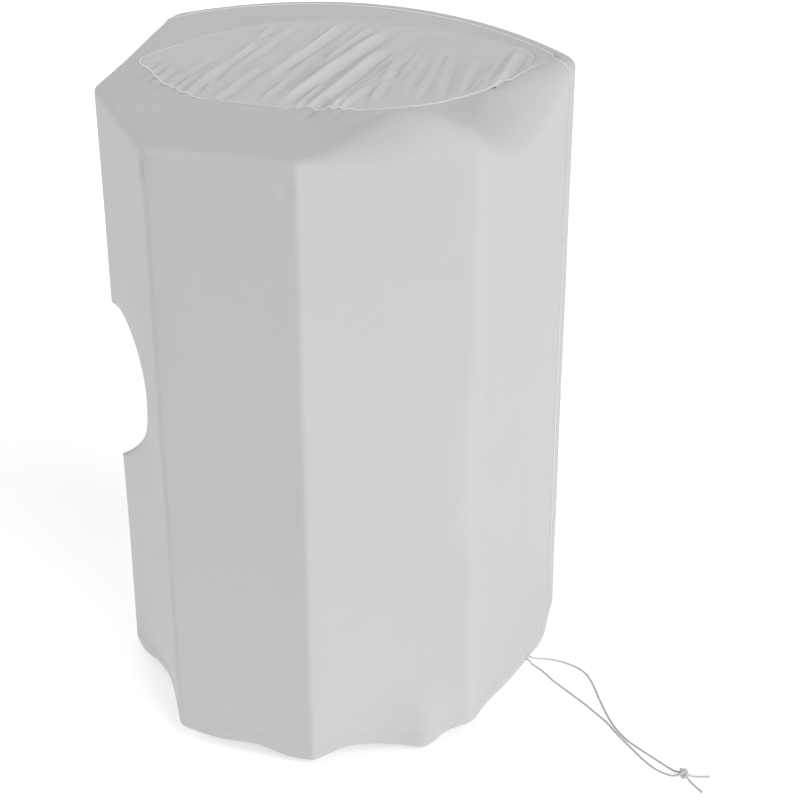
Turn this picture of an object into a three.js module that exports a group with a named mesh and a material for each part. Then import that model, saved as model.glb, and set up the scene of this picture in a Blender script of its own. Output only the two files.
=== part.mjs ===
// A fitted cloth cover for a loudspeaker cabinet, empty, in the shape in which it hangs over the cabinet.
// Millimetres, +Z up. The model is laid out with the rear wall at y = 0, the hem's level at z = 0 and the
// cabinet's middle at x = 0, and is then shifted so that its origin is the point under the top that carries it.

import * as THREE from 'three';
import { mergeVertices } from 'three/addons/utils/BufferGeometryUtils.js';

// Driving sizes
const HEIGHT = 600;
const SHEET = 1.3;
const TOP_SLOT = 3.9;
const TOP_RIB = 2.2;
const FRONT_SLOT = 3.2;
const FRONT_RIB = 2.3;
const RIB_LIFT = 0.7;
const CORD = 2.0;
const REST = -16;
const ORIGIN = new THREE.Vector3(0, 215, HEIGHT - 2);

// The top rises towards the middle of the front edge.
const CROWN = { rise: 24, from: 130, to: 410, halfWidth: 240, sideLoss: 0.8 };
// Loose cloth stands a little proud over the right rear edge.
const PUFF = { x: 120, y: 108, spreadX: 62, spreadY: 95, rise: 16 };

// Plan corners of the wall, clockwise seen from above: the radius of each bend, the radius of the shoulder above
// it, and how much rounder the shoulder grows in the middle of the run to the next corner
const CORNERS = [
  { name: 'frontRight', x: 221, y: 347, bend: 19, shoulder: 10, swell: 4 },
  { name: 'sideRight', x: 200, y: 99, bend: 26, shoulder: 15, swell: 9 },
  { name: 'rearRight', x: 66, y: 0, bend: 11, shoulder: 8, swell: 1 },
  { name: 'rearLeft', x: -73, y: 0, bend: 12, shoulder: 9, swell: 3 },
  { name: 'sideLeft', x: -188, y: 145, bend: 16, shoulder: 12, swell: 3 },
  { name: 'frontLeft', x: -223, y: 390, bend: 19, shoulder: 10, swell: 0 },
];
const FRONT_BOW = 60;
const FRONT_PIECES = 16;
const RUN_STEP = 27;
const SEAM_SETBACK = 22;

// The hem: at a share of the way from one corner to the next, how far it rises and how far it flares out
const HEM = [
  { from: 0, share: 0.07, rise: -4, flare: 2 },
  { from: 0, share: 0.27, rise: -12, flare: 10 },
  { from: 0, share: 0.44, rise: -12, flare: 7 },
  { from: 0, share: 0.6, rise: -11, flare: 4 },
  { from: 1, share: 0.0, rise: -2, flare: 0 },
  { from: 1, share: 0.17, rise: -4, flare: 3 },
  { from: 1, share: 0.34, rise: -10, flare: 14 },
  { from: 1, share: 0.43, rise: -8, flare: 10 },
  { from: 1, share: 0.54, rise: -5, flare: 3 },
  { from: 1, share: 0.77, rise: 0, flare: 0 },
  { from: 2, share: 0.0, rise: -8, flare: 0 },
  { from: 2, share: 0.14, rise: -9, flare: 0 },
  { from: 2, share: 0.41, rise: -1, flare: 1 },
  { from: 2, share: 0.7, rise: -2, flare: 1 },
  { from: 3, share: 0.0, rise: 2, flare: -1 },
  { from: 3, share: 0.33, rise: 14, flare: -5 },
  { from: 3, share: 0.52, rise: 18, flare: -6 },
  { from: 3, share: 0.7, rise: 14, flare: -4 },
  { from: 4, share: 0.0, rise: 3, flare: 0 },
  { from: 4, share: 0.35, rise: -8, flare: 6 },
  { from: 4, share: 0.7, rise: -10, flare: 8 },
  { from: 5, share: 0.0, rise: -3, flare: 0 },
  { from: 5, share: 0.2, rise: -9, flare: 7 },
  { from: 5, share: 0.38, rise: 2, flare: -3 },
  { from: 5, share: 0.58, rise: -10, flare: 8 },
  { from: 5, share: 0.8, rise: 0, flare: -2 },
];
const HEM_REACH = 95;

// Hollows where the cloth spans the cabinet's hand recesses, across the two side corners
const HOLLOW = { depth: 24, low: 211, high: 385, deepest: 0.3 };
const HOLLOWS = [
  { x: 200, y: 99, outX: 0.873, outY: -0.488, depth: 0.8 },
  { x: -188, y: 145, outX: -0.919, outY: -0.394, depth: 1 },
];

// The seam that joins the oval top panel to the walls' cloth, counter-clockwise from its left tip
const TOP_SEAM = [
  [-179, 226], [-156, 198], [-125, 166], [-82, 141], [-37, 137], [12, 135], [61, 141], [102, 156],
  [137, 184], [165, 220], [184, 264], [194, 305], [187, 334], [160, 349], [100, 355], [40, 357],
  [-20, 353], [-70, 341], [-115, 316], [-148, 284], [-172, 252],
];
const TOP_MIDDLE = { x: 8, y: 250 };
const PANEL_COLUMNS = 40;
const PANEL_ROWS = 12;
const RIM_LOOK = 0.8;

// Folds of the slack top panel, each a ridge from its near end to its far end
const FOLDS = [
  { x: -142, y: 180, toX: -138, toY: 232, height: 1.6, width: 6 },
  { x: -118, y: 168, toX: -108, toY: 262, height: 1.4, width: 7 },
  { x: -90, y: 118, toX: -66, toY: 296, height: 2.2, width: 7 },
  { x: -63, y: 108, toX: -48, toY: 330, height: 3.0, width: 7 },
  { x: -44, y: 190, toX: -5, toY: 362, height: 3.4, width: 8 },
  { x: -8, y: 138, toX: 46, toY: 352, height: 5.0, width: 8 },
  { x: 25, y: 96, toX: 58, toY: 310, height: 4.6, width: 8 },
  { x: 50, y: 108, toX: 72, toY: 300, height: 3.4, width: 7 },
  { x: 84, y: 158, toX: 92, toY: 320, height: 2.4, width: 8 },
  { x: 115, y: 178, toX: 112, toY: 320, height: 2.0, width: 7 },
  { x: 147, y: 196, toX: 138, toY: 310, height: 2.6, width: 8 },
  { x: 176, y: 186, toX: 172, toY: 352, height: 3.2, width: 7 },
  { x: 194, y: 180, toX: 206, toY: 345, height: 3.4, width: 7 },
];

// Heights of the rows of points on the wall, and bend angles of the rows on the shoulder
const WALL_ROWS = [0, 12, 34, 95, 150, 204, 213, 226, 256, 300, 345, 374, 387, 450, 525];
const SHOULDER_ROWS = [0, 30, 60, 90];
const BAND_ROWS = [0.3, 0.65, 1];

// The drawcord: two strands from the hem to the knot, and the two tails past it, lying on the floor
const STRANDS = {
  cord_upper: [
    [220.0, 240.5, -9], [223, 241.5, -10], [229, 246, -13.6], [236, 249.6, -15], [247, 250.5, -15],
    [262, 248, -15], [274.5, 243, -15], [284.5, 235.5, -15], [292.5, 224.5, -15], [300, 210.5, -15], [307.5, 195, -15], [317, 177, -15],
    [326.5, 160.5, -15], [337, 145.5, -15], [349.5, 132.5, -15], [362.5, 123, -15], [376, 114, -15],
    [389.5, 105, -15], [402.5, 96.2, -14.2], [407.2, 92.9, -12.1],
  ],
  cord_lower: [
    [219.3, 236, -9], [222.6, 235.6, -10.2], [228.5, 233.6, -13.8], [235, 230.6, -15], [243.5, 223.5, -15],
    [254, 213.5, -15], [268, 202.5, -15], [283.5, 190.5, -15], [298, 179, -15], [311, 167.5, -15], [323, 157, -15],
    [334.5, 143.5, -15], [347, 130, -15], [358.5, 118, -15], [370.5, 106, -15], [383, 95.5, -15],
    [395, 90, -15], [403.5, 88.3, -14.2], [407.2, 88.5, -12.4],
  ],
};
const TAILS = {
  tail_upper: [[416.8, 91.6, -12.2], [420.5, 93, -14.2], [425.5, 94.6, -15], [431, 96.4, -15], [437, 98.4, -15]],
  tail_lower: [[415.8, 88.0, -12.2], [419.6, 84.8, -14.2], [424.5, 80.5, -15], [429.3, 76, -15], [434, 71.5, -15]],
};
const KNOT = { x: 411.8, y: 90.8, z: -10.9, half: [4.6, 4.9, 4.4], turn: -0.3, lump: 0.14 };

const up = new THREE.Vector3(0, 0, 1);

function smooth(value) {
  const t = Math.min(1, Math.max(0, value));
  return t * t * (3 - 2 * t);
}

// Height of the smooth top over a point of the plan
function topHeight(x, y) {
  const side = 1 - CROWN.sideLoss * (x / CROWN.halfWidth) ** 2;
  const away = ((x - PUFF.x) / PUFF.spreadX) ** 2 + ((y - PUFF.y) / PUFF.spreadY) ** 2;
  const crown = CROWN.rise * side * smooth((y - CROWN.from) / (CROWN.to - CROWN.from));
  return HEIGHT + crown + PUFF.rise * Math.exp(-away);
}

// Height of the folds over a point of the plan: each ridge swells in and dies out along its own line
function foldHeight(x, y) {
  let sum = 0;
  for (const fold of FOLDS) {
    const along = (y - fold.y) / (fold.toY - fold.y);
    const ridge = (x - fold.x - (fold.toX - fold.x) * along) / fold.width;
    const ends = smooth(along / 0.25 + 0.15) * smooth((1 - along) / 0.3 + 0.1);
    sum += fold.height * ends * Math.exp(-ridge * ridge);
  }
  return sum;
}

// The wall's plan: straight runs with rounded corners and a bowed front, as stations in order
function planStations() {
  const points = CORNERS.map((corner) => ({ ...corner }));
  const left = points[points.length - 1];
  const right = points[0];
  const chord = new THREE.Vector2(right.x - left.x, right.y - left.y);
  const half = chord.length() / 2;
  const radius = (half * half + FRONT_BOW * FRONT_BOW) / (2 * FRONT_BOW);
  const spread = Math.asin(half / radius);
  const out = new THREE.Vector2(-chord.y, chord.x).normalize();
  const middle = new THREE.Vector2((left.x + right.x) / 2, (left.y + right.y) / 2);
  const along = chord.clone().normalize();
  for (let i = 1; i < FRONT_PIECES; i += 1) {
    const angle = spread * (2 * i / FRONT_PIECES - 1);
    const a = radius * Math.sin(angle);
    const b = radius * Math.cos(angle) - (radius - FRONT_BOW);
    points.push({ x: middle.x + along.x * a + out.x * b, y: middle.y + along.y * a + out.y * b, front: true });
  }
  return points;
}

// Rounds each corner of the plan with three chords and divides the straight runs
function wallStations() {
  const points = planStations();
  const count = points.length;
  const at = (i) => new THREE.Vector2(points[(i + count) % count].x, points[(i + count) % count].y);
  const stations = [];
  for (let i = 0; i < count; i += 1) {
    const here = at(i);
    if (points[i].front) {
      stations.push({ plan: here, shoulder: CORNERS[0].shoulder, run: CORNERS.length - 1, front: true });
      continue;
    }
    const before = at(i - 1).sub(here);
    const after = at(i + 1).sub(here);
    const open = Math.acos(before.clone().normalize().dot(after.clone().normalize()));
    const cut = points[i].bend / Math.tan(open / 2);
    const start = here.clone().addScaledVector(before.clone().normalize(), cut);
    const end = here.clone().addScaledVector(after.clone().normalize(), cut);
    const curve = new THREE.QuadraticBezierCurve(start, here, end);
    for (let k = 0; k <= 3; k += 1) {
      stations.push({ plan: curve.getPoint(k / 3), shoulder: points[i].shoulder, run: i });
    }
    if (i < CORNERS.length - 1) {
      addRun(stations, end, points[i], points[i + 1], i);
    }
  }
  return finishStations(stations);
}

// Stations of one straight run, with the two edges of the front seam's slot where it crosses the run
function addRun(stations, start, corner, next, run) {
  const from = new THREE.Vector2(corner.x, corner.y);
  const to = new THREE.Vector2(next.x, next.y);
  const length = from.distanceTo(to);
  const direction = to.clone().sub(from).normalize();
  const shares = [];
  const open = corner.bend + 8;
  const close = length - next.bend - 8;
  const pieces = Math.max(1, Math.round((close - open) / RUN_STEP));
  for (let k = 0; k <= pieces; k += 1) {
    shares.push({ at: open + (close - open) * k / pieces });
  }
  if (run === 0) {
    shares[0].at = SEAM_SETBACK + FRONT_SLOT / 2;
    shares[0].slot = 'right';
    shares.unshift({ at: SEAM_SETBACK - FRONT_SLOT / 2, slot: 'right' });
  }
  if (run === 4) {
    shares[shares.length - 1].at = length - SEAM_SETBACK - FRONT_SLOT / 2;
    shares[shares.length - 1].slot = 'left';
    shares.push({ at: length - SEAM_SETBACK + FRONT_SLOT / 2, slot: 'left' });
  }
  for (const share of shares) {
    const t = share.at / length;
    stations.push({
      plan: from.clone().addScaledVector(direction, share.at),
      shoulder: THREE.MathUtils.lerp(corner.shoulder, next.shoulder, t) + corner.swell * Math.sin(Math.PI * t),
      run,
      slot: share.slot,
    });
  }
}

// Adds the way round, the outward direction and the hem's values to every station
function finishStations(stations) {
  const count = stations.length;
  let way = 0;
  for (let i = 0; i < count; i += 1) {
    const here = stations[i];
    here.way = way;
    way += here.plan.distanceTo(stations[(i + 1) % count].plan);
    const back = here.plan.clone().sub(stations[(i + count - 1) % count].plan).normalize();
    const ahead = stations[(i + 1) % count].plan.clone().sub(here.plan).normalize();
    const tangent = back.add(ahead).normalize();
    here.out = new THREE.Vector2(-tangent.y, tangent.x);
  }
  const rightSlot = stations.findIndex((station) => station.slot === 'right') + 1;
  const leftSlot = stations.findIndex((station) => station.slot === 'left');
  stations.forEach((station, i) => {
    station.slotted = i <= rightSlot || i >= leftSlot;
  });
  const marks = hemMarks(stations);
  for (const station of stations) {
    Object.assign(station, hemAt(station.way, marks, way));
  }
  return stations;
}

// The hem table's rows by their way round the wall
function hemMarks(stations) {
  const total = stations.length;
  const starts = CORNERS.map((corner, i) => {
    let best = stations[0];
    for (const station of stations) {
      const near = Math.hypot(station.plan.x - corner.x, station.plan.y - corner.y);
      if (near < Math.hypot(best.plan.x - corner.x, best.plan.y - corner.y)) {
        best = station;
      }
    }
    return i === 0 ? stations[1].way : best.way;
  });
  const last = stations[total - 1];
  const round = last.way + last.plan.distanceTo(stations[0].plan);
  return HEM.map((row) => {
    const start = starts[row.from];
    const end = row.from + 1 < starts.length ? starts[row.from + 1] : round;
    return { way: start + (end - start) * row.share, rise: row.rise, flare: row.flare };
  });
}

// Rise and flare at a way round, eased between the two nearest rows of the hem table
function hemAt(way, marks, round) {
  const wrapped = [
    { ...marks[marks.length - 1], way: marks[marks.length - 1].way - round },
    ...marks,
    { ...marks[0], way: marks[0].way + round },
  ];
  for (let i = 1; i < wrapped.length; i += 1) {
    if (way <= wrapped[i].way) {
      const t = smooth((way - wrapped[i - 1].way) / (wrapped[i].way - wrapped[i - 1].way));
      return {
        rise: THREE.MathUtils.lerp(wrapped[i - 1].rise, wrapped[i].rise, t),
        flare: THREE.MathUtils.lerp(wrapped[i - 1].flare, wrapped[i].flare, t),
      };
    }
  }
  return { rise: 0, flare: 0 };
}

// How deep a hollow is at a height: a steep ledge at its foot and a long slope up to its brow
function hollowDepth(z) {
  const v = (z - HOLLOW.low) / (HOLLOW.high - HOLLOW.low);
  if (v <= 0 || v >= 1) {
    return 0;
  }
  const above = v > HOLLOW.deepest;
  const away = above ? (v - HOLLOW.deepest) / (1 - HOLLOW.deepest) : (HOLLOW.deepest - v) / HOLLOW.deepest;
  return HOLLOW.depth * (1 - away ** (above ? 2 : 4)) ** 0.75;
}

// Moves a wall point in where it lies outside the flat span of a hollow
function pressIn(point) {
  for (const hollow of HOLLOWS) {
    const depth = hollow.depth * hollowDepth(point.z);
    if (depth > 0) {
      const behind = (hollow.x - point.x) * hollow.outX + (hollow.y - point.y) * hollow.outY;
      const push = Math.max(0, depth - behind);
      point.x -= push * hollow.outX;
      point.y -= push * hollow.outY;
    }
  }
  return point;
}

// Radius of the top seam from the middle of the top, in a given direction
const seamCurve = new THREE.CatmullRomCurve3(
  TOP_SEAM.map(([x, y]) => new THREE.Vector3(x, y, 0)), true, 'centripetal');
const seamPolar = seamCurve.getPoints(480).map((point) => ({
  angle: Math.atan2(point.y - TOP_MIDDLE.y, point.x - TOP_MIDDLE.x),
  radius: Math.hypot(point.x - TOP_MIDDLE.x, point.y - TOP_MIDDLE.y),
})).sort((a, b) => a.angle - b.angle);

function seamRadius(angle) {
  const turn = 2 * Math.PI;
  let after = seamPolar.findIndex((entry) => entry.angle >= angle);
  if (after < 0) {
    after = 0;
  }
  const high = seamPolar[after];
  const low = seamPolar[(after + seamPolar.length - 1) % seamPolar.length];
  const gap = ((high.angle - low.angle) % turn + turn) % turn;
  const part = gap > 0 ? (((angle - low.angle) % turn + turn) % turn) / gap : 0;
  return THREE.MathUtils.lerp(low.radius, high.radius, part);
}

// How much further a slot's half width reaches along a ray that meets the seam aslant
function seamSlant(angle) {
  const step = 0.01;
  const change = (seamRadius(angle + step) - seamRadius(angle - step)) / (2 * step);
  return Math.hypot(1, change / seamRadius(angle));
}

// A point of the top by its direction and radius from the middle, on the folds
function topPoint(angle, radius) {
  const x = TOP_MIDDLE.x + radius * Math.cos(angle);
  const y = TOP_MIDDLE.y + radius * Math.sin(angle);
  return new THREE.Vector3(x, y, topHeight(x, y) + foldHeight(x, y));
}

// One column of points, from the hem up the wall, over the shoulder and in to the top seam
function columnPoints(station) {
  const { plan, out, shoulder, rise, flare, slotted } = station;
  const edge = topHeight(plan.x, plan.y);
  const column = [];
  for (const height of WALL_ROWS) {
    const low = 1 - smooth(height / HEM_REACH);
    const reach = flare * low;
    const z = height + rise * Math.max(0, 1 - height / HEM_REACH);
    column.push(pressIn(new THREE.Vector3(plan.x + out.x * reach, plan.y + out.y * reach, z)));
  }
  for (const degrees of SHOULDER_ROWS) {
    const angle = THREE.MathUtils.degToRad(degrees);
    const inward = shoulder * (1 - Math.cos(angle));
    const z = edge - shoulder * (1 - Math.sin(angle));
    column.push(new THREE.Vector3(plan.x - out.x * inward, plan.y - out.y * inward, z));
  }
  const angle = Math.atan2(plan.y - TOP_MIDDLE.y, plan.x - TOP_MIDDLE.x);
  const seam = topPoint(angle, seamRadius(angle) + seamSlant(angle) * TOP_SLOT / 2);
  const end = column[column.length - 1];
  const inward = slotted ? out.clone().negate() : new THREE.Vector2(seam.x - end.x, seam.y - end.y).normalize();
  const start = new THREE.Vector2(end.x, end.y).addScaledVector(inward, FRONT_SLOT);
  column.push(new THREE.Vector3(start.x, start.y, topHeight(start.x, start.y)));
  for (const share of BAND_ROWS) {
    const x = THREE.MathUtils.lerp(start.x, seam.x, share);
    const y = THREE.MathUtils.lerp(start.y, seam.y, share);
    column.push(new THREE.Vector3(x, y, topHeight(x, y) + foldHeight(x, y) * smooth(share * 1.6 - 0.6)));
  }
  return column;
}

// A closed thin sheet from the chosen cells of a grid of points: outside, inside and its cut edges. The inside
// lies a thickness behind the outside, or straight below it on a level sheet.
function sheetGeometry(grid, wraps, chosen, level = false) {
  const columns = grid.length;
  const rows = grid[0].length;
  const column = (i) => (wraps ? grid[(i + columns) % columns] : grid[Math.min(columns - 1, Math.max(0, i))]);
  const outside = [];
  const inside = [];
  for (let i = 0; i < columns; i += 1) {
    for (let j = 0; j < rows; j += 1) {
      const across = column(i + 1)[j].clone().sub(column(i - 1)[j]);
      const along = grid[i][Math.min(rows - 1, j + 1)].clone().sub(grid[i][Math.max(0, j - 1)]);
      const normal = level ? up : along.cross(across).normalize();
      outside.push(grid[i][j]);
      inside.push(grid[i][j].clone().addScaledVector(normal, -SHEET));
    }
  }
  const index = (i, j) => ((i + columns) % columns) * rows + j;
  const cells = wraps ? columns : columns - 1;
  const taken = (i, j) => {
    const wrapped = wraps ? (i + columns) % columns : i;
    return wrapped >= 0 && wrapped < cells && j >= 0 && j < rows - 1 && chosen(wrapped, j);
  };
  const positions = [];
  const quad = (a, b, c, d) => {
    for (const point of [a, b, c, a, c, d]) {
      positions.push(point.x, point.y, point.z);
    }
  };
  for (let i = 0; i < cells; i += 1) {
    for (let j = 0; j < rows - 1; j += 1) {
      if (!taken(i, j)) {
        continue;
      }
      const [a, b, c, d] = [index(i, j), index(i, j + 1), index(i + 1, j + 1), index(i + 1, j)];
      quad(outside[a], outside[b], outside[c], outside[d]);
      quad(inside[a], inside[d], inside[c], inside[b]);
      for (const [di, dj, from, to] of [[-1, 0, a, b], [0, 1, b, c], [1, 0, c, d], [0, -1, d, a]]) {
        if (!taken(i + di, j + dj)) {
          quad(outside[from], inside[from], inside[to], outside[to]);
        }
      }
    }
  }
  return closedGeometry(positions);
}

function closedGeometry(positions) {
  const geometry = new THREE.BufferGeometry();
  geometry.setAttribute('position', new THREE.Float32BufferAttribute(positions, 3));
  return mergeVertices(geometry, 1e-4);
}

// A curve that passes its stations one step at a time, so that a rib's sections fall on the slot's own points
class StationCurve extends THREE.Curve {
  constructor(points) {
    super();
    this.points = points;
  }

  getPoint(t, target = new THREE.Vector3()) {
    const place = THREE.MathUtils.clamp(t, 0, 1) * (this.points.length - 1);
    const low = Math.min(this.points.length - 2, Math.floor(place));
    return target.lerpVectors(this.points[low], this.points[low + 1], place - low);
  }

  getUtoTmapping(u) {
    return u;
  }
}

function roundSection(diameter, sides) {
  const shape = new THREE.Shape();
  for (let k = 0; k < sides; k += 1) {
    const angle = 2 * Math.PI * k / sides;
    const [x, y] = [diameter / 2 * Math.cos(angle), diameter / 2 * Math.sin(angle)];
    if (k === 0) {
      shape.moveTo(x, y);
    } else {
      shape.lineTo(x, y);
    }
  }
  shape.closePath();
  return shape;
}

function tubeGeometry(curve, diameter, sides, steps) {
  return new THREE.ExtrudeGeometry(roundSection(diameter, sides), {
    steps, curveSegments: 1, bevelEnabled: false, extrudePath: curve,
  });
}

function ribGeometry(points, diameter) {
  return tubeGeometry(new StationCurve(points), diameter, 6, points.length - 1);
}

function cordGeometry(points) {
  const curve = new THREE.CatmullRomCurve3(points.map(([x, y, z]) => new THREE.Vector3(x, y, z)), false, 'centripetal');
  const steps = Math.min(34, Math.ceil(curve.getLength() / (3.4 * CORD)));
  return tubeGeometry(curve, CORD, 8, steps);
}

// The knot: a round lump with three soft turns of cord showing on it
function knotGeometry() {
  const geometry = mergeVertices(positionOnly(new THREE.IcosahedronGeometry(1, 3)), 1e-4);
  const place = geometry.getAttribute('position');
  const point = new THREE.Vector3();
  for (let i = 0; i < place.count; i += 1) {
    point.fromBufferAttribute(place, i);
    const around = Math.atan2(point.y, point.x);
    const turns = Math.cos(3 * Math.asin(point.z) * 1.6 + 2 * around);
    point.multiplyScalar(1 + KNOT.lump * (turns - 1) / 2);
    point.set(point.x * KNOT.half[0], point.y * KNOT.half[1], point.z * KNOT.half[2]);
    point.z = Math.max(point.z, REST - KNOT.z + 0.2);
    place.setXYZ(i, point.x, point.y, point.z);
  }
  geometry.rotateZ(KNOT.turn);
  geometry.translate(KNOT.x, KNOT.y, KNOT.z);
  return geometry;
}

function positionOnly(geometry) {
  geometry.deleteAttribute('normal');
  geometry.deleteAttribute('uv');
  return geometry;
}

// The top panel's rim in a given direction: inside every chord of the seam near there by half a slot
function panelRim(angle) {
  const ray = new THREE.Vector2(Math.cos(angle), Math.sin(angle));
  let rim = Infinity;
  for (let i = 0; i < total; i += 1) {
    const from = seamStation(i);
    const to = seamStation((i + 1) % total);
    const chord = to.clone().sub(from).normalize();
    const normal = new THREE.Vector2(-chord.y, chord.x);
    const facing = ray.dot(normal);
    const ahead = from.clone().add(to).normalize().dot(ray);
    if (ahead > RIM_LOOK) {
      rim = Math.min(rim, (from.dot(normal) - TOP_SLOT / 2) / facing);
    }
  }
  return rim;
}

// The seam's point at a station, seen from the middle of the top
function seamStation(i) {
  const { plan } = stations[i];
  const angle = Math.atan2(plan.y - TOP_MIDDLE.y, plan.x - TOP_MIDDLE.x);
  return new THREE.Vector2(Math.cos(angle), Math.sin(angle)).multiplyScalar(seamRadius(angle));
}

// The top panel: a square grid drawn onto the oval, so that its columns run along the folds
function panelGrid() {
  const grid = [];
  for (let i = 0; i <= PANEL_COLUMNS; i += 1) {
    const u = 1 - 2 * i / PANEL_COLUMNS;
    const column = [];
    for (let j = 0; j <= PANEL_ROWS; j += 1) {
      const v = -1 + 2 * j / PANEL_ROWS;
      const x = u * Math.sqrt(1 - v * v / 2);
      const y = v * Math.sqrt(1 - u * u / 2);
      const angle = Math.atan2(y, x);
      column.push(topPoint(angle, Math.hypot(x, y) * panelRim(angle)));
    }
    grid.push(column);
  }
  return grid;
}

// The point that lies midway across the cloth's thickness between two rims, lifted for a rib
function ribPoint(a, b, out) {
  return a.clone().add(b).multiplyScalar(0.5).addScaledVector(out, RIB_LIFT - SHEET / 2);
}

const stations = wallStations();
const grid = stations.map(columnPoints);
const total = stations.length;
const shoulderEnd = WALL_ROWS.length + SHOULDER_ROWS.length - 1;
const slotRight = stations.findIndex((station) => station.slot === 'right');
const slotLeft = stations.findIndex((station) => station.slot === 'left');
const isFrontColumn = (i) => i > slotLeft || i < slotRight;
const isSlotColumn = (i) => i === slotRight || i === slotLeft;
const inFront = (i, j) => isFrontColumn(i) && j < shoulderEnd;
const inSlot = (i, j) => (isSlotColumn(i) && j <= shoulderEnd) || (isFrontColumn(i) && j === shoulderEnd);

// The front seam's line: up the right slot, along the front edge of the top and down the left slot
function frontSeamPoints() {
  const points = [];
  const side = (i, j) => {
    const out = new THREE.Vector3(stations[i].out.x, stations[i].out.y, 0);
    const lean = j < WALL_ROWS.length ? 0 : SHOULDER_ROWS[Math.min(j, shoulderEnd) - WALL_ROWS.length];
    out.multiplyScalar(Math.cos(THREE.MathUtils.degToRad(lean)));
    out.addScaledVector(up, Math.sin(THREE.MathUtils.degToRad(lean)));
    return ribPoint(grid[i][j], grid[i + 1][j], out);
  };
  for (let j = 0; j < shoulderEnd; j += 1) {
    points.push(side(slotRight, j));
  }
  const across = (i) => ribPoint(grid[i][shoulderEnd], grid[i][shoulderEnd + 1], up);
  points.push(across(slotRight).lerp(across(slotRight + 1), 0.5));
  for (let k = slotRight - 1; k > slotLeft + 1 - total; k -= 1) {
    points.push(across((k + total) % total));
  }
  points.push(across(slotLeft).lerp(across(slotLeft + 1), 0.5));
  for (let j = shoulderEnd - 1; j >= 0; j -= 1) {
    points.push(side(slotLeft, j));
  }
  return points;
}

// The top seam's line round the oval, open by a hair at its left tip where the sewing starts and stops
function topSeamPoints() {
  const points = stations.map((station) => {
    const angle = Math.atan2(station.plan.y - TOP_MIDDLE.y, station.plan.x - TOP_MIDDLE.x);
    return topPoint(angle, seamRadius(angle)).addScaledVector(up, RIB_LIFT - SHEET / 2);
  });
  const start = stations.findIndex((station) => station.run === 4);
  const turned = [...points.slice(start), ...points.slice(0, start)];
  const end = turned[0].clone().lerp(turned[turned.length - 1], 0.08);
  return [...turned, end];
}

const CLOTH = { color: 0xd2d2d1, roughness: 0.72, metalness: 0 };
const PANEL_CLOTH = { color: 0xcfcfcf, roughness: 0.68, metalness: 0 };
const THREAD = { color: 0xf2f2f0, roughness: 0.6, metalness: 0 };
const BRAID = { color: 0xc9c8c6, roughness: 0.75, metalness: 0 };

const cover = new THREE.Group();
cover.name = 'speaker_cover';
const body = new THREE.Group();
body.position.copy(ORIGIN).negate();
cover.add(body);

function addPiece(name, geometry, finish) {
  const mesh = new THREE.Mesh(geometry, new THREE.MeshStandardMaterial(finish));
  mesh.name = name;
  body.add(mesh);
}

addPiece('wall_cloth', sheetGeometry(grid, true, (i, j) => !inFront(i, j) && !inSlot(i, j)), CLOTH);
addPiece('front_panel', sheetGeometry(grid, true, inFront), CLOTH);
addPiece('top_panel', sheetGeometry(panelGrid(), false, () => true, true), PANEL_CLOTH);
addPiece('top_seam', ribGeometry(topSeamPoints(), TOP_RIB), THREAD);
addPiece('front_seam', ribGeometry(frontSeamPoints(), FRONT_RIB), THREAD);
for (const [name, points] of Object.entries({ ...STRANDS, ...TAILS })) {
  addPiece(name, cordGeometry(points), BRAID);
}
addPiece('knot', knotGeometry(), BRAID);

export default cover;
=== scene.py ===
"""Looks of a fitted cloth cover for an upright loudspeaker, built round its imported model.

The tables below are in millimetres, in the lay-out frame: the rear wall is y = 0, the hem's level is
z = 0 and the middle of the cover is x = 0. to_frame() turns them into metres in the part's own frame.
"""

import logging
import math
from dataclasses import dataclass, field
from enum import Enum

import bpy
import numpy as np
from mathutils import Matrix, Vector


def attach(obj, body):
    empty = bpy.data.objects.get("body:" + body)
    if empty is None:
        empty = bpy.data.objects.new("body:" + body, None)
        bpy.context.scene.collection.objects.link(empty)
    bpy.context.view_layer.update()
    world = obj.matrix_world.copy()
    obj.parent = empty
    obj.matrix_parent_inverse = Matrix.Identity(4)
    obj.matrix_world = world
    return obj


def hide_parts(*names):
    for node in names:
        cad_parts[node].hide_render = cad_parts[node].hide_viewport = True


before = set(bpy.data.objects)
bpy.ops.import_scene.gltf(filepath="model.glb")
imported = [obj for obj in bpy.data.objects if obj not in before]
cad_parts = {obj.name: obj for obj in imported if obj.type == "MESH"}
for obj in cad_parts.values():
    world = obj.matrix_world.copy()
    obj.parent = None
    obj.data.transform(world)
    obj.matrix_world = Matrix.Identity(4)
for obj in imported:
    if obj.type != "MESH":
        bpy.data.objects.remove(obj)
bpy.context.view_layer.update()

LOG = logging.getLogger("cover")
Array = np.ndarray

MM = 0.001  # one millimetre, in metres

# Driving sizes of the cover, in millimetres
HEIGHT = 600.0  # from the hem's level to the shoulder
REST = -16.0  # the floor's level
ORIGIN = np.array([0.0, 215.0, HEIGHT - 2.0])  # the part's own origin, under its top
SHEET = 0.6  # the cloth's thickness
FRONT_BOW = 60.0  # how far the front bows out past its chord
SEAM_SETBACK = 22.0  # from a front corner back to its seam
SPREAD = 3.2  # how far the walls lean out at the top
FRONT_SLOT = 3.2  # width of the strip on the top that the front seam covers
FRONT_WRAP = 12.0  # how far the front panel runs on over the top
WRAP_EASE = 14.0  # the way past a front seam over which that wrap grows
SLOT_FADE = 45.0  # the way past a front seam over which the strip turns back to the oval
SEAM_GAP = 0.6  # gap between two cloths under their seam
NEAR_SEAM = np.array([-7.0, -3.5, -1.5, -SEAM_GAP / 2, SEAM_GAP / 2, 1.5, 3.5, 7.0])  # close stations there
HEM_REACH = 95.0  # height that the hem's scallops reach up to
TOP_MIDDLE = np.array([8.0, 250.0])  # middle of the oval seam

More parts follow.
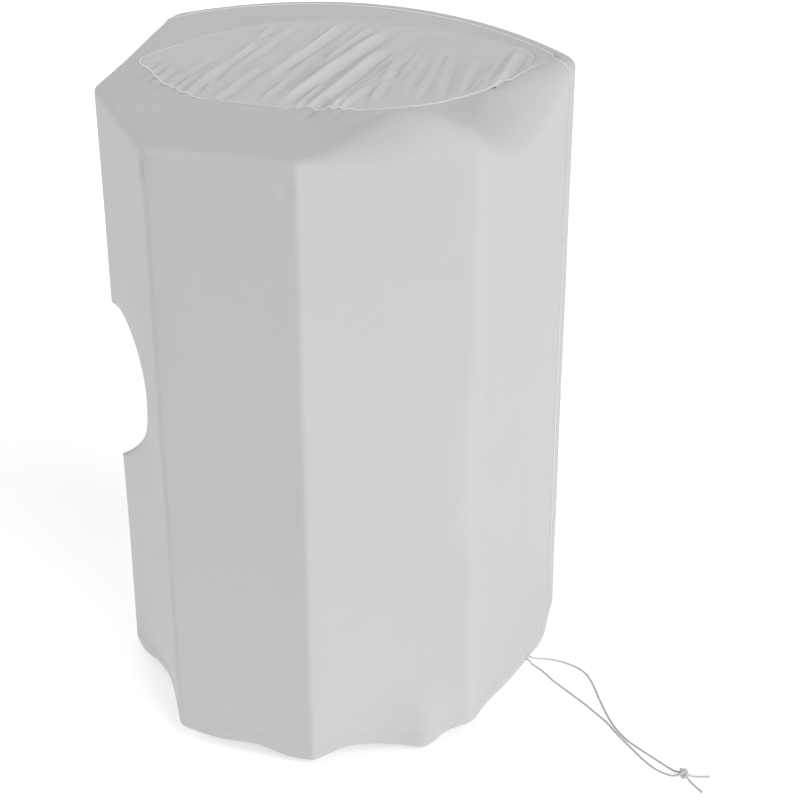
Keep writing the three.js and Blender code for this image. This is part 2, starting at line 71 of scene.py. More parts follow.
# Unevenness of the hanging cloth, in millimetres
WAVE_DEPTH = 0.5  # broad waves
PULL_DEPTH = 0.22  # upright pull lines near the hem
CASING_SWELL = 0.08  # the casing over the drawcord
GROOVE_DEPTH = 0.1  # the groove that the casing's stitches pull in


def smooth(value: Array) -> Array:
    """Eases 0 to 1 with flat ends: t squared times (3 - 2 t), with t held between 0 and 1."""
    t = np.clip(value, 0.0, 1.0)
    return t * t * (3.0 - 2.0 * t)


def to_frame(points: Array) -> Array:
    """Turns lay-out millimetres into metres in the part's frame."""
    return (np.asarray(points, float) - ORIGIN) * MM


def unit(vectors: Array) -> Array:
    """Scales each vector of an array to length one."""
    return vectors / np.maximum(np.linalg.norm(vectors, axis=-1, keepdims=True), 1e-12)


def hermite(t: Array, start: Array, leaving: Array, end: Array, arriving: Array) -> Array:
    """Cubic Hermite curve: (2ttt - 3tt + 1) p + (ttt - 2tt + t) m + (3tt - 2ttt) q + (ttt - tt) n.

    Args:
        t: Share of the way along each span, 0 to 1.
        start: Value p at the span's start.
        leaving: Slope m there, for the whole span.
        end: Value q at its end.
        arriving: Slope n there.

    Returns:
        The values at t.
    """
    return (
        (2 * t**3 - 3 * t**2 + 1) * start
        + (t**3 - 2 * t**2 + t) * leaving
        + (3 * t**2 - 2 * t**3) * end
        + (t**3 - t**2) * arriving
    )


def run_lengths(path: Array) -> Array:
    """Distance along a path to each of its points, starting from zero."""
    return np.concatenate([[0.0], np.cumsum(np.linalg.norm(np.diff(path, axis=0), axis=1))])


def rows_at(at: Array, lengths: Array, rows: Array) -> Array:
    """Interpolates rows that stand at some distances along a path, at other distances."""
    return np.stack([np.interp(at, lengths, rows[:, k]) for k in range(rows.shape[1])], 1)


def over_top(angle: Array, reach: Array) -> tuple[Array, Array]:
    """Places at some directions and distances from the top's middle, as x and y."""
    return TOP_MIDDLE[0] + reach * np.cos(angle), TOP_MIDDLE[1] + reach * np.sin(angle)


def catmull_rom(points: Array, closed: bool, steps: int) -> Array:
    """Samples the centripetal Catmull-Rom curve through some points.

    Each span is a cubic Hermite curve whose end tangents come from the neighbouring points, with knot
    distances that are the square roots of the chords.

    Args:
        points: The points, one a row.
        closed: Whether the curve joins its last point to its first.
        steps: Samples for each span.

    Returns:
        The samples, with the last point itself at the end of an open curve.
    """
    p = np.asarray(points, float)
    if closed:
        p = np.vstack([p[-1], p, p[:2]])
    else:
        p = np.vstack([2 * p[0] - p[1], p, 2 * p[-1] - p[-2]])
    p0, p1, p2, p3 = p[:-3], p[1:-2], p[2:-1], p[3:]
    pairs = ((p0, p1), (p1, p2), (p2, p3))
    d0, d1, d2 = (np.sqrt(np.linalg.norm(b - a, axis=1))[:, None] for a, b in pairs)
    m1 = d1 * ((p1 - p0) / d0 - (p2 - p0) / (d0 + d1) + (p2 - p1) / d1)
    m2 = d1 * ((p2 - p1) / d1 - (p3 - p1) / (d1 + d2) + (p3 - p2) / d2)
    t = np.linspace(0.0, 1.0, steps, endpoint=False)[None, :, None]
    spans = hermite(t, p1[:, None], m1[:, None], p2[:, None], m2[:, None])
    curve = spans.reshape(-1, p.shape[1])
    return curve if closed else np.vstack([curve, p2[-1]])


def spaced(marks: list[float], step: float) -> Array:
    """Lists positions that take in every mark.

    Args:
        marks: Positions to keep, in order.
        step: The longest step between two positions.

    Returns:
        The marks with evenly spaced positions between them.
    """
    parts = [
        np.linspace(a, b, max(1, math.ceil((b - a) / step)), endpoint=False)
        for a, b in zip(marks[:-1], marks[1:])
    ]
    return np.concatenate([*parts, [marks[-1]]])


@dataclass(frozen=True)
class SoftNoise:
    """Smooth seeded noise between -1 and 1: a lattice of random values, eased between its points."""

    seed: int
    size: int = 64

    def at(self, u: Array, v: Array) -> Array:
        """Samples the noise.

        Args:
            u: First lattice coordinate, where one cell is one unit.
            v: Second lattice coordinate.

        Returns:
            Values between -1 and 1.
        """
        lattice = np.random.default_rng(self.seed).uniform(-1.0, 1.0, (self.size, self.size))
        u0, v0 = np.floor(u).astype(int), np.floor(v).astype(int)
        fu, fv = smooth(u - u0), smooth(v - v0)
        u0, v0, u1, v1 = (cell % self.size for cell in (u0, v0, u0 + 1, v0 + 1))
        a, b, c, d = lattice[u0, v0], lattice[u1, v0], lattice[u0, v1], lattice[u1, v1]
        return (a * (1 - fu) + b * fu) * (1 - fv) + (c * (1 - fu) + d * fu) * fv


@dataclass(frozen=True)
class Corner:
    """A corner of the wall's plan: its bend, the shoulder above it and the swell of the run after it."""

    x: float
    y: float
    bend: float
    shoulder: float
    swell: float


# Plan corners, clockwise seen from above: right front, right side, right rear, left rear, left side and
# left front
CORNERS = (
    Corner(223, 348, 14, 9, 28),
    Corner(200, 99, 24, 23, 16),
    Corner(66, 0, 9, 8, 2),
    Corner(-73, 0, 11, 8, 2),
    Corner(-192, 157, 10, 8, 3),
    Corner(-212, 384, 20, 9, 0),
)


@dataclass(frozen=True)
class HemRow:
    """The hem at a share of the way from one corner to the next: how far it rises and flares out."""

    corner: int
    share: float
    rise: float
    flare: float


HEM = tuple(HemRow(*row) for row in (
    (0, 0.07, -4, 2), (0, 0.27, -12, 10), (0, 0.44, -12, 7), (0, 0.6, -11, 4),
    (1, 0.0, -2, 0), (1, 0.17, -4, 3), (1, 0.34, -11, 11), (1, 0.43, -8, 7), (1, 0.54, -5, 3),
    (1, 0.77, 0, 0),
    (2, 0.0, -8, 0), (2, 0.14, -9, 0), (2, 0.41, -1, 1), (2, 0.7, -2, 1),
    (3, 0.0, 4, -1), (3, 0.14, 15, -3), (3, 0.27, 19, -5), (3, 0.5, 13, -4), (3, 0.8, -5, 0),
    (4, 0.0, -12, 0), (4, 0.35, -8, 6), (4, 0.7, -10, 8),
    (5, 0.0, -3, 0), (5, 0.2, -9, 7), (5, 0.38, 2, -3), (5, 0.58, -10, 8), (5, 0.8, 0, -2),
))


@dataclass(frozen=True)
class Fold:
    """A fold of the slack top: a ridge along a bowed line, by its lean steeper on its right side."""

    x: float
    y: float
    to_x: float
    to_y: float
    height: float
    width: float
    bow: float = 0.0
    lean: float = 0.25


FOLDS = tuple(Fold(*row) for row in (
    (-165, 168, -160, 236, 3.0, 3.6, 2), (-152, 148, -150, 232, 3.8, 3.8),
    (-138, 130, -138, 226, 3.8, 3.8), (-121, 118, -108, 262, 3.2, 4.2, -3),
    (-107, 108, -104, 206, 3.0, 3.6, -4), (-90, 94, -66, 300, 3.6, 4.4, -14),
    (-76, 150, -84, 232, 2.2, 3.4, -8), (-63, 94, -50, 240, 4.4, 4.2, -5),
    (-80, 208, -55, 342, 3.2, 4.0, 3), (-78, 240, -78, 338, 2.4, 3.4, -2),
    (-44, 184, -5, 362, 5.4, 5.0, 2), (-34, 236, -16, 356, 2.2, 3.2, -3),
    (-26, 128, -14, 262, 3.2, 4.0, 2), (-8, 122, 46, 352, 7.0, 5.6, -1), (2, 236, 23, 352, 3.8, 4.0),
    (12, 108, 16, 214, 3.4, 3.8, 3), (25, 84, 58, 306, 6.6, 5.2, -7), (38, 92, 52, 176, 4.0, 3.8, 1),
    (48, 96, 66, 212, 5.0, 4.8), (62, 112, 64, 186, 3.0, 4.0, 2), (74, 160, 68, 285, 3.6, 4.4, 2),
    (84, 228, 86, 326, 2.6, 4.0), (98, 190, 94, 300, 2.2, 3.6, -3), (112, 166, 104, 318, 2.8, 4.2),
    (131, 182, 112, 316, 3.2, 4.6), (148, 186, 138, 310, 3.2, 4.4), (162, 212, 160, 336, 2.2, 3.8),
    (178, 166, 173, 360, 5.0, 4.8), (192, 160, 206, 348, 6.2, 6.0), (204, 84, 205, 262, 2.6, 5.6),
))


@dataclass(frozen=True)
class TopForm:
    """The top's form: a crown that rises to the front, a puff over the right rear edge, and the folds.

    The valleys are the troughs beside the folds: their depth as a share of the fold's height, and how far
    beside the crest they lie and how broad they are, in widths of the fold.
    """

    rise: float = 28.0
    rise_from: float = 110.0
    rise_to: float = 400.0
    half_width: float = 240.0
    side_loss: float = 0.71
    puff: tuple[float, float] = (143.0, 82.0)
    puff_spread: tuple[float, float] = (54.0, 52.0)
    puff_rise: float = 28.0
    valley_depth: float = 0.34
    valley_beside: float = 1.9
    valley_width: float = 0.7
    crest_power: float = 1.6
    wrinkle_depth: float = 1.5
    seam_calm: float = 0.45
    seam_reach: float = 15.0

    def height(self, x: Array, y: Array) -> Array:
        """Height of the smooth top: the eased crown, lower to the sides, plus a round swelling.

        Args:
            x: Places across the top.
            y: Places from rear to front.

        Returns:
            Heights above the hem's level.
        """
        side = 1.0 - self.side_loss * (x / self.half_width) ** 2
        puff_x, puff_y = (x - self.puff[0]) / self.puff_spread[0], (y - self.puff[1]) / self.puff_spread[1]
        away = puff_x**2 + puff_y**2
        crown = self.rise * side * smooth((y - self.rise_from) / (self.rise_to - self.rise_from))
        return HEIGHT + crown + self.puff_rise * np.exp(-away)

    def folds(self, x: Array, y: Array) -> Array:
        """Height of the folds: each a crest with a soft point across its line, which dies out at its ends.

        Args:
            x: Places across the top.
            y: Places from rear to front.

        Returns:
            Heights to add to the smooth top.
        """
        total = np.zeros_like(x)
        for fold in FOLDS:
            along = (y - fold.y) / (fold.to_y - fold.y)
            middle = fold.x + (fold.to_x - fold.x) * along + 4.0 * fold.bow * along * (1.0 - along)
            across = (x - middle) / fold.width
            across = np.where(across < 0, across / (1.0 + fold.lean), across / (1.0 - fold.lean))
            ends = smooth(along / 0.32 + 0.05) * smooth((1.0 - along) / 0.3 + 0.1)
            valley = self.valley_depth * np.exp(-(((across - self.valley_beside) / self.valley_width) ** 2))
            total += fold.height * ends * (np.exp(-np.abs(across) ** self.crest_power) - valley)
        return total

    def creases(self, x: Array, y: Array) -> Array:
        """Small wrinkles between the folds: noise stretched along them, strongest inside the oval.

        Args:
            x: Places across the top.
            y: Places from rear to front.

        Returns:
            Heights to add to the smooth top.
        """
        shift = 0.22 * (y - TOP_MIDDLE[1])
        wander = 7.0 * SoftNoise(13).at(x / 60.0 + 200.0, y / 45.0 + 200.0)
        fine = SoftNoise(11).at((x - shift + wander) / 8.0 + 200.0, y / 44.0 + 200.0)
        wide = SoftNoise(12).at((x - shift) / 21.0 + 200.0, y / 95.0 + 200.0)
        patchy = smooth(SoftNoise(14).at(x / 34.0 + 200.0, y / 60.0 + 200.0) * 0.9 + 0.55)
        ridged = (1.0 - 1.7 * np.abs(fine)) * patchy
        zone = smooth((y - 95.0) / 70.0) * smooth((375.0 - y) / 30.0)
        zone = zone * smooth((205.0 - np.abs(x - TOP_MIDDLE[0])) / 40.0)
        return zone * (self.wrinkle_depth * ridged + wide)

    def surface(self, x: Array, y: Array, fold_share: Array | float = 1.0) -> Array:
        """Height of the top with its folds and wrinkles, which are calmer beside the seam.

        Args:
            x: Places across the top.
            y: Places from rear to front.
            fold_share: Share of the folds and wrinkles.

        Returns:
            Heights above the hem's level.
        """
        beside = smooth(np.abs(OVAL.outside(x, y)) / self.seam_reach)
        calm = 1.0 - self.seam_calm + self.seam_calm * beside
        return self.height(x, y) + fold_share * calm * (self.folds(x, y) + self.creases(x, y))


TOP = TopForm()


@dataclass(frozen=True)
class SeamOval:
    """The closed line of the top seam, as a radius from the top's middle in each direction."""

    points: tuple[tuple[float, float], ...] = (
        (-179, 226), (-156, 198), (-125, 166), (-82, 141), (-37, 137), (12, 135), (61, 141),
        (102, 156), (137, 184), (165, 220), (184, 264), (194, 305), (187, 334), (160, 349),
        (100, 355), (40, 357), (-20, 353), (-70, 341), (-115, 316), (-148, 284), (-172, 252),
    )

    def polar(self) -> tuple[Array, Array]:
        """Traces the closed curve.

        Returns:
            Directions and radii of its samples, in order of direction.
        """
        curve = catmull_rom(np.array(self.points), True, 24) - TOP_MIDDLE
        angle = np.arctan2(curve[:, 1], curve[:, 0])
        order = np.argsort(angle)
        return angle[order], np.hypot(curve[:, 0], curve[:, 1])[order]

    def radius(self, angle: Array) -> Array:
        """Radius in each direction, interpolated round the closed curve."""
        angles, radii = self.polar()
        return np.interp(angle, angles, radii, period=2 * math.pi)

    def outside(self, x: Array, y: Array) -> Array:
        """How far each point lies outside the seam, along its ray from the middle."""
        dx, dy = x - TOP_MIDDLE[0], y - TOP_MIDDLE[1]
        return np.hypot(dx, dy) - self.radius(np.arctan2(dy, dx))


OVAL = SeamOval()


@dataclass(frozen=True)
class Hollow:
    """A shallow hollow where the cloth spans a hand recess at a corner of the cabinet.

    It reaches from low to high and is deepest at a share of that height. Its levels drop by the slant for
    each millimetre that a point lies along the level direction beside.
    """

    x: float
    y: float
    out_x: float
    out_y: float
    depth: float
    low: float = 211.0
    high: float = 380.0
    deepest: float = 0.36
    soft: float = 1.2
    beside: tuple[float, float] = (-0.427, 0.904)
    slant: float = 0.47
    brow_power: float = 1.65
    ledge_power: float = 4.0
    span_power: float = 0.75
    far_behind: float = 60.0

    def press(self, points: Array) -> Array:
        """Moves points in to the hollow's flat span: a steep ledge at its foot, a long slope to its brow.

        Args:
            points: Wall points, (..., 3).

        Returns:
            The points, each moved inwards by the part of the depth that it doesn't already lie behind.
        """
        from_x, from_y = points[..., 0] - self.x, points[..., 1] - self.y
        along = from_x * self.beside[0] + from_y * self.beside[1]
        v = (points[..., 2] + self.slant * along - self.low) / (self.high - self.low)
        inside = (v > 0) & (v < 1)
        above = v > self.deepest
        away = np.abs(v - self.deepest) / np.where(above, 1 - self.deepest, self.deepest)
        away = np.clip(away, 0, 1)
        loss = np.where(above, away**self.brow_power, away**self.ledge_power)
        depth = self.depth * (1 - loss) ** self.span_power
        gap = depth + from_x * self.out_x + from_y * self.out_y
        push = np.where(inside, 0.5 * (gap + np.sqrt(gap * gap + self.soft**2)), 0.0)
        push = np.where(gap < -self.far_behind, 0.0, push) * smooth(depth / 4.0)
        return points - push[..., None] * np.array([self.out_x, self.out_y, 0.0])


HOLLOWS = (
    Hollow(200, 99, 0.873, -0.488, 5.0, 196.0, 380.0, slant=0.0, soft=5.0),
    Hollow(-192, 157, -0.904, -0.427, 28.0),
)


@dataclass(frozen=True)
class Crease:
    """A soft trough (or ridge, with a negative depth) in the wall, between two points of it."""

    start: tuple[float, float, float]
    end: tuple[float, float, float]
    width: float
    depth: float

    def depth_at(self, points: Array) -> Array:
        """Depth at each point: a bell across the line, fading at both ends.

        Args:
            points: Wall points, (..., 3).

        Returns:
            Depths to press the wall in by.
        """
        a, b = np.array(self.start, float), np.array(self.end, float)
        line = b - a
        along = ((points - a) @ line) / (line @ line)
        nearest = a + np.clip(along, 0, 1)[..., None] * line
        away = np.linalg.norm(points - nearest, axis=-1) / self.width
        ends = smooth(along / 0.3 + 0.5) * smooth((1 - along) / 0.3 + 0.5)
        return self.depth * ends * np.exp(-away * away)


CREASES = tuple(Crease(*row) for row in (
    ((-75, -2, 597), (-77, 2, 570), 3.4, 3.0),
    ((54, -2, 570), (70, 3, 582), 4.5, 3.6),
    ((188, 91, 583), (204, 120, 579), 4.0, 1.8),
    ((198, 100, 566), (206, 116, 572), 5.0, -1.2),
    ((196, 98, 462), (204, 108, 466), 4.0, 1.4),
    ((181, 84, 368), (198, 98, 371), 3.0, 2.3),
    ((198, 98, 371), (208, 190, 372), 3.0, 2.2),
    ((208, 190, 372), (212, 265, 366), 3.6, 1.2),
    ((170, 76, 240), (208, 200, 236), 30.0, -2.4),
    ((192, 94, 194), (200, 100, 190), 5.0, 1.6),
    ((196, 97, 128), (202, 106, 127), 3.0, 1.0),
    ((-60, 0, 420), (20, 0, 410), 34.0, -1.2),
    ((90, 18, 300), (150, 62, 260), 40.0, 1.2),
))


@dataclass
class Stations:
    """The wall's plan as arrays, one entry for each station on its way round."""

    plan: Array
    out: Array
    way: Array
    length: float
    shoulder: Array
    rise: Array
    flare: Array
    seam_right: int
    seam_left: int

    @property
    def count(self) -> int:
        """Number of stations."""
        return len(self.plan)

    @property
    def level_out(self) -> Array:
        """Outward directions in space, level."""
        return np.column_stack([self.out, np.zeros(self.count)])


@dataclass(frozen=True)
class WallPlan:
    """Lays out the plan: straight runs, rounded corners and the bowed front."""

    step: float = 4.6
    corner_steps: int = 10
    front_steps: int = 104
    swell_power: float = 1.3

    def corner_arc(self, before: Array, here: Array, after: Array, bend: float) -> tuple[Array, float]:
        """Rounds a corner with a quadratic curve between the ends of a bend of the given radius.

        Args:
            before: The neighbouring point before the corner.
            here: The corner.
            after: The neighbouring point after it.
            bend: Radius of the bend.

        Returns:
            The arc's points, and how far the bend reaches from the corner.
        """
        a, b = unit(before - here), unit(after - here)
        cut = bend / math.tan(math.acos(float(a @ b)) / 2)
        t = np.linspace(0, 1, self.corner_steps + 1)[:, None]
        start, end = here + a * cut, here + b * cut
        return (1 - t) ** 2 * start + 2 * t * (1 - t) * here + t**2 * end, cut

    def front_arc(self, trim: float, steps: int) -> Array:
        """Lays out the bowed front from the left corner to the right one.

        Args:
            trim: Length left out at both ends.
            steps: Number of steps.

        Returns:
            Points on the bow, one a row.
        """
        left, right = (np.array([c.x, c.y], float) for c in (CORNERS[-1], CORNERS[0]))
        chord = right - left
        half = np.linalg.norm(chord) / 2
        radius = (half * half + FRONT_BOW**2) / (2 * FRONT_BOW)
        spread = math.asin(half / radius) - trim / radius
        angle = np.linspace(-spread, spread, steps + 1)[:, None]
        along, out = unit(chord), unit(np.array([-chord[1], chord[0]]))
        bowed = out * (radius * np.cos(angle) - radius + FRONT_BOW)
        return (left + right) / 2 + along * radius * np.sin(angle) + bowed

    def run_stations(
        self, run: int, length: float, cut: float, next_cut: float
    ) -> tuple[Array, int | None]:
        """Spaces the stations of a straight run, close together where a front seam crosses it.

        Args:
            run: Number of the run's first corner.
            length: Distance from that corner to the next.
            cut: How far the first corner's bend reaches into the run.
            next_cut: How far the next corner's bend does.

        Returns:
            Distances from the first corner, and which of them starts a seam's gap, if one does.
        """
        marks = [cut, length - next_cut]
        seam_at = {0: SEAM_SETBACK, len(CORNERS) - 2: length - SEAM_SETBACK}.get(run)
        if seam_at is None:
            return spaced(marks, self.step)[1:-1], None
        near = seam_at + NEAR_SEAM
        near = near[(near > cut + 0.5) & (near < length - next_cut - 0.5)]
        at = spaced(sorted([*marks, *near]), self.step)[1:-1]
        return at, int(np.argmin(np.abs(at - (seam_at - SEAM_GAP / 2))))

    def build(self) -> Stations:
        """Lays out the whole plan: bends and straight runs by turns, then the bowed front.

        Returns:
            Every station with its outward direction, shoulder and hem values.
        """
        corners = [np.array([c.x, c.y], float) for c in CORNERS]
        front = self.front_arc(0.0, 16)
        round_about = [front[-2], *corners, front[1]]
        arcs = [
            self.corner_arc(before, here, after, corner.bend)
            for corner, before, here, after in zip(CORNERS, round_about, round_about[1:], round_about[2:])
        ]
        points, shoulders, middles, seams = [], [], [], []
        for i, corner in enumerate(CORNERS):
            arc, cut = arcs[i]
            middles.append(sum(map(len, points)) + self.corner_steps // 2)
            points.append(arc)
            shoulders.append(np.full(len(arc), corner.shoulder, float))
            if i == len(CORNERS) - 1:
                break
            after, next_cut = CORNERS[i + 1], arcs[i + 1][1]
            run = corners[i + 1] - corners[i]
            length = float(np.linalg.norm(run))
            at, seam = self.run_stations(i, length, cut, next_cut)
            if seam is not None:
                seams.append(sum(map(len, points)) + seam)
            share = (at - cut) / (length - cut - next_cut)
            points.append(corners[i] + unit(run) * at[:, None])
            even = corner.shoulder + (after.shoulder - corner.shoulder) * share
            shoulders.append(even + corner.swell * np.sin(math.pi * share) ** self.swell_power)
        trim = (arcs[0][1] + arcs[-1][1]) / 2
        bow = self.front_arc(trim, self.front_steps)[1:-1]
        points.append(bow)
        shoulders.append(np.full(len(bow), CORNERS[0].shoulder, float))
        plan = np.vstack(points)
        ahead = np.roll(plan, -1, axis=0) - plan
        steps = np.linalg.norm(ahead, axis=1)
        way = np.concatenate([[0.0], np.cumsum(steps)[:-1]])
        tangent = unit(unit(ahead) + unit(plan - np.roll(plan, 1, axis=0)))
        out = np.stack([-tangent[:, 1], tangent[:, 0]], 1)
        length = float(steps.sum())
        rise, flare = self.hem_values(way, length, way[middles])
        return Stations(plan, out, way, length, np.concatenate(shoulders), rise, flare, *seams)

    def hem_values(self, way: Array, length: float, starts: Array) -> tuple[Array, Array]:
        """Draws a smooth cubic through the rows of the hem's table.

        Args:
            way: How far round the cover each station lies.
            length: The whole way round.
            starts: How far round each corner's middle lies.

        Returns:
            Rise and flare of the hem at each station.
        """
        runs = np.diff(starts, append=length)
        at = np.array([starts[row.corner] + runs[row.corner] * row.share for row in HEM])
        values = np.array([(row.rise, row.flare) for row in HEM], float)
        at = np.concatenate([[at[-1] - length], at, [at[0] + length]])
        values = np.vstack([values[-1], values, values[0]])
        slopes = np.gradient(values, at, axis=0)
        after = np.clip(np.searchsorted(at, way), 1, len(at) - 1)
        span = (at[after] - at[after - 1])[:, None]
        t = (way - at[after - 1])[:, None] / span
        mixed = hermite(t, values[after - 1], span * slopes[after - 1], values[after], span * slopes[after])
        return mixed[:, 0], mixed[:, 1]


@dataclass
class CoverSkin:
    """The whole cloth skin as one grid of points: columns round the cover, rows from hem to top seam."""

    stations: Stations
    shoulder_steps: int = 14
    band_steps: int = 20
    bevel: float = 0.4
    inner_levels: tuple[float, ...] = (14.0, 10.5, 7.0, 3.5)
    grid: Array = field(init=False)
    uv: Array = field(init=False)
    rub_and_crest_highlight: Array = field(init=False)
    rows: dict[str, int] = field(init=False)

    def __post_init__(self) -> None:
        """Builds the grid, its weave coordinates and its rubbed edges."""
        hem, wall, top = self.hem_rows(), self.wall_rows(), self.top_rows()
        self.rows = {"wall": len(hem), "shoulder": len(hem) + len(wall)}
        self.grid = np.concatenate([hem, wall, top]).transpose(1, 0, 2)
        self.rows["end"] = self.rows["shoulder"] + self.shoulder_steps
        self.uv = self.weave_coordinates()
        self.rub_and_crest_highlight = self.rubbed_edges()

    def wall_point(self, height: Array, inward: float = 0.0) -> Array:
        """Wall points at some heights: the plan pushed out by the hem's flare, pressed in at the hollows.

        Args:
            height: Heights above the hem's level, (rows,) or (rows, stations).
            inward: How far inside the outer face the points lie.

        Returns:
            Points as (rows, stations, 3).
        """
        s = self.stations
        h = np.broadcast_to(height if height.ndim == 2 else height[:, None], (len(height), s.count))
        low = 1.0 - smooth(h / (0.75 * HEM_REACH))
        reach = s.flare * low - inward + self.relief(h) + SPREAD * h / HEIGHT
        z = h + s.rise * np.maximum(0.0, 1.0 - h / HEM_REACH)
        xy = s.plan + s.out * reach[..., None]
        points = np.concatenate([xy, z[..., None]], -1)
        for hollow in HOLLOWS:
            points = hollow.press(points)
        depth = sum((crease.depth_at(points) for crease in CREASES), np.zeros(h.shape))
        points[..., :2] -= depth[..., None] * s.out
        return points

    def relief(self, h: Array) -> Array:
        """Unevenness of the hanging cloth: broad waves, upright pull lines near the hem, and the casing.

        Args:
            h: Heights above the hem's level, (rows, stations).

        Returns:
            How far the cloth stands out at each point.
        """
        way = self.stations.way + 0 * h
        broad = SoftNoise(21).at(way / 74.0 + 100.0, h / 120.0 + 100.0)
        pulls = SoftNoise(22).at(way / 15.0 + 100.0, h / 260.0 + 100.0)
        casing = CASING_SWELL * smooth(h / 3.0) * smooth((12.5 - h) / 3.0)
        groove = GROOVE_DEPTH * np.exp(-(((h - 13.0) / 1.3) ** 2))
        return WAVE_DEPTH * broad + PULL_DEPTH * pulls * (1.0 - smooth(h / 60.0)) + casing - groove

    def hem_rows(self) -> Array:
        """The turned hem: down the inside of the casing, then round the bottom edge.

        Returns:
            Rows of points, (rows, stations, 3).
        """
        inner = [self.wall_point(np.array([h]), inward=2.0)[0] for h in self.inner_levels]
        theta = np.radians([0, 36, 72, 108, 144])
        base = self.wall_point(np.array([0.0]))[0]
        out, up = self.stations.level_out, np.array([0.0, 0.0, 1.0])
        turn = [base - out * (1 + math.cos(t)) + up * (1 - math.sin(t)) for t in theta]
        return np.array([*inner, *turn])

    def wall_rows(self) -> Array:
        """The outer face, from just above the hem's edge to the foot of the shoulder.

        Returns:
            Rows of points, (rows, stations, 3), closest at the casing and at the hollows.
        """
        s = self.stations
        casing = [1.2, 4, 7, 10, 12, 13, 14, 16, 19, 23]
        runs = ((28, 150, 6.4), (152, 244, 3.0), (247, 392, 4.4), (396, 516, 6.0))
        levels = np.concatenate([casing, *(np.arange(*run) for run in runs)])
        low = self.wall_point(levels)
        rim = s.plan + s.out * SPREAD
        foot = TOP.height(rim[:, 0], rim[:, 1]) - s.shoulder
        share = np.linspace(0.0, 1.0, 14, endpoint=False)[1:, None]
        high = self.wall_point(levels[-1] + (foot - levels[-1]) * share)
        return np.concatenate([low, high])

    def top_rows(self) -> Array:
        """The shoulder, the front seam's place behind it, and the band to the top seam.

        The shoulder is a quarter of a superellipse: round where it is small, and closer to a bevel, with a
        higher power of the cosine and the sine, where it is broad.

        Returns:
            Rows of points, (rows, stations, 3).
        """
        s = self.stations
        rows = []
        power = 1.0 + self.bevel * smooth(s.shoulder / 60.0)
        uneven = self.relief(np.full((1, s.count), HEIGHT))[0]
        for angle in np.radians(np.linspace(0, 90, self.shoulder_steps + 1)):
            inward = s.shoulder * (1 - math.cos(angle) ** power) - uneven * math.cos(angle)
            xy = s.plan + s.out * (SPREAD - inward[:, None])
            z = TOP.height(xy[:, 0], xy[:, 1]) - s.shoulder * (1 - math.sin(angle) ** power)
            rows.append(np.column_stack([xy, z]))
        end = s.plan + s.out * (SPREAD - s.shoulder[:, None])
        from_middle = s.plan - TOP_MIDDLE
        angle = np.arctan2(from_middle[:, 1], from_middle[:, 0])
        seam = np.column_stack(over_top(angle, OVAL.radius(angle) + SEAM_GAP / 2))
        slotted = self.slotted_share()[:, None]
        inward = unit(unit(seam - end) * (1 - slotted) - s.out * slotted)
        wrap = unit(seam - end) * self.front_wrap()[:, None]
        gap_start, gap_end = (FRONT_SLOT - SEAM_GAP) / 2, (FRONT_SLOT + SEAM_GAP) / 2
        for reach, share in ((0.5, 0.0), (gap_start, 1.0), (gap_end, 1.0), (FRONT_SLOT, 1.0)):
            xy = end + inward * reach + wrap * share
            rows.append(np.column_stack([xy, TOP.height(xy[:, 0], xy[:, 1])]))
        start = end + inward * FRONT_SLOT + wrap
        for share in 1 - (1 - np.linspace(0, 1, self.band_steps + 1)[1:]) ** 1.25:
            xy = start + (seam - start) * share
            z = TOP.surface(xy[:, 0], xy[:, 1], float(smooth(np.array(share * 1.25 - 0.25))))
            rows.append(np.column_stack([xy, z]))
        return np.array(rows)

    def slotted_share(self) -> Array:
        """Where the strip under the front seam runs beside the front edge.

        Returns:
            One along the bowed front between the two front seams, falling to zero a little past them.
        """
        s = self.stations
        right, left = s.way[s.seam_right], s.way[s.seam_left]
        past = np.minimum(s.way - right, left - s.way)
        return 1.0 - smooth(past / SLOT_FADE)

    def front_wrap(self) -> Array:
        """How far the front panel runs in over the top.

        Returns:
            Nothing at its seams, then eased to its full wrap, for each station.
        """
        s = self.stations
        inside = np.maximum(s.way[s.seam_right] - s.way, s.way - s.way[s.seam_left])
        return FRONT_WRAP * smooth(inside / WRAP_EASE)

    def weave_coordinates(self) -> Array:
        """Weave coordinates in metres: the way round the cover, and the length of cloth up each column.

        Returns:
            Coordinates, (stations + 1, rows, 2), so that the last cells don't run back to zero.
        """
        s = self.stations
        steps = np.linalg.norm(np.diff(self.grid, axis=1), axis=2).mean(axis=0)
        up = np.concatenate([[0.0], np.cumsum(steps)]) * MM
        way = np.append(s.way, s.length) * MM
        return np.stack(np.broadcast_arrays(way[:, None], up[None, :]), -1)

    def rubbed_edges(self) -> Array:
        """How rubbed the cloth is: most on the upright corners, the shoulder and the hem's edge.

        Returns:
            Shares from 0 to 1, (stations, rows).
        """
        s = self.stations
        turn = np.linalg.norm(np.roll(s.out, -1, axis=0) - np.roll(s.out, 1, axis=0), axis=1)
        reach = (np.roll(s.way, -1) - np.roll(s.way, 1)) % s.length
        bend = smooth(turn / np.maximum(reach, 0.1) / 0.05)
        rub_and_crest_highlight = np.zeros(self.grid.shape[:2])
        rub_and_crest_highlight[:, self.rows["wall"]:self.rows["end"]] = 0.7 * bend[:, None]
        lift = np.sin(np.linspace(0, math.pi, self.shoulder_steps + 1))
        rub_and_crest_highlight[:, self.rows["shoulder"]:self.rows["end"] + 1] += 0.5 * lift
        rub_and_crest_highlight[:, len(self.inner_levels) + 1:self.rows["wall"] + 1] = 0.4
        return np.clip(rub_and_crest_highlight, 0, 1)

    def front_cells(self) -> Array:
        """Which columns of cells belong to the front panel."""
        column = np.arange(self.stations.count)
        return (column > self.stations.seam_left) | (column < self.stations.seam_right)

    def seam_cells(self) -> Array:
        """Which columns of cells are the gap under the front seam."""
        column = np.arange(self.stations.count)
        return (column == self.stations.seam_left) | (column == self.stations.seam_right)


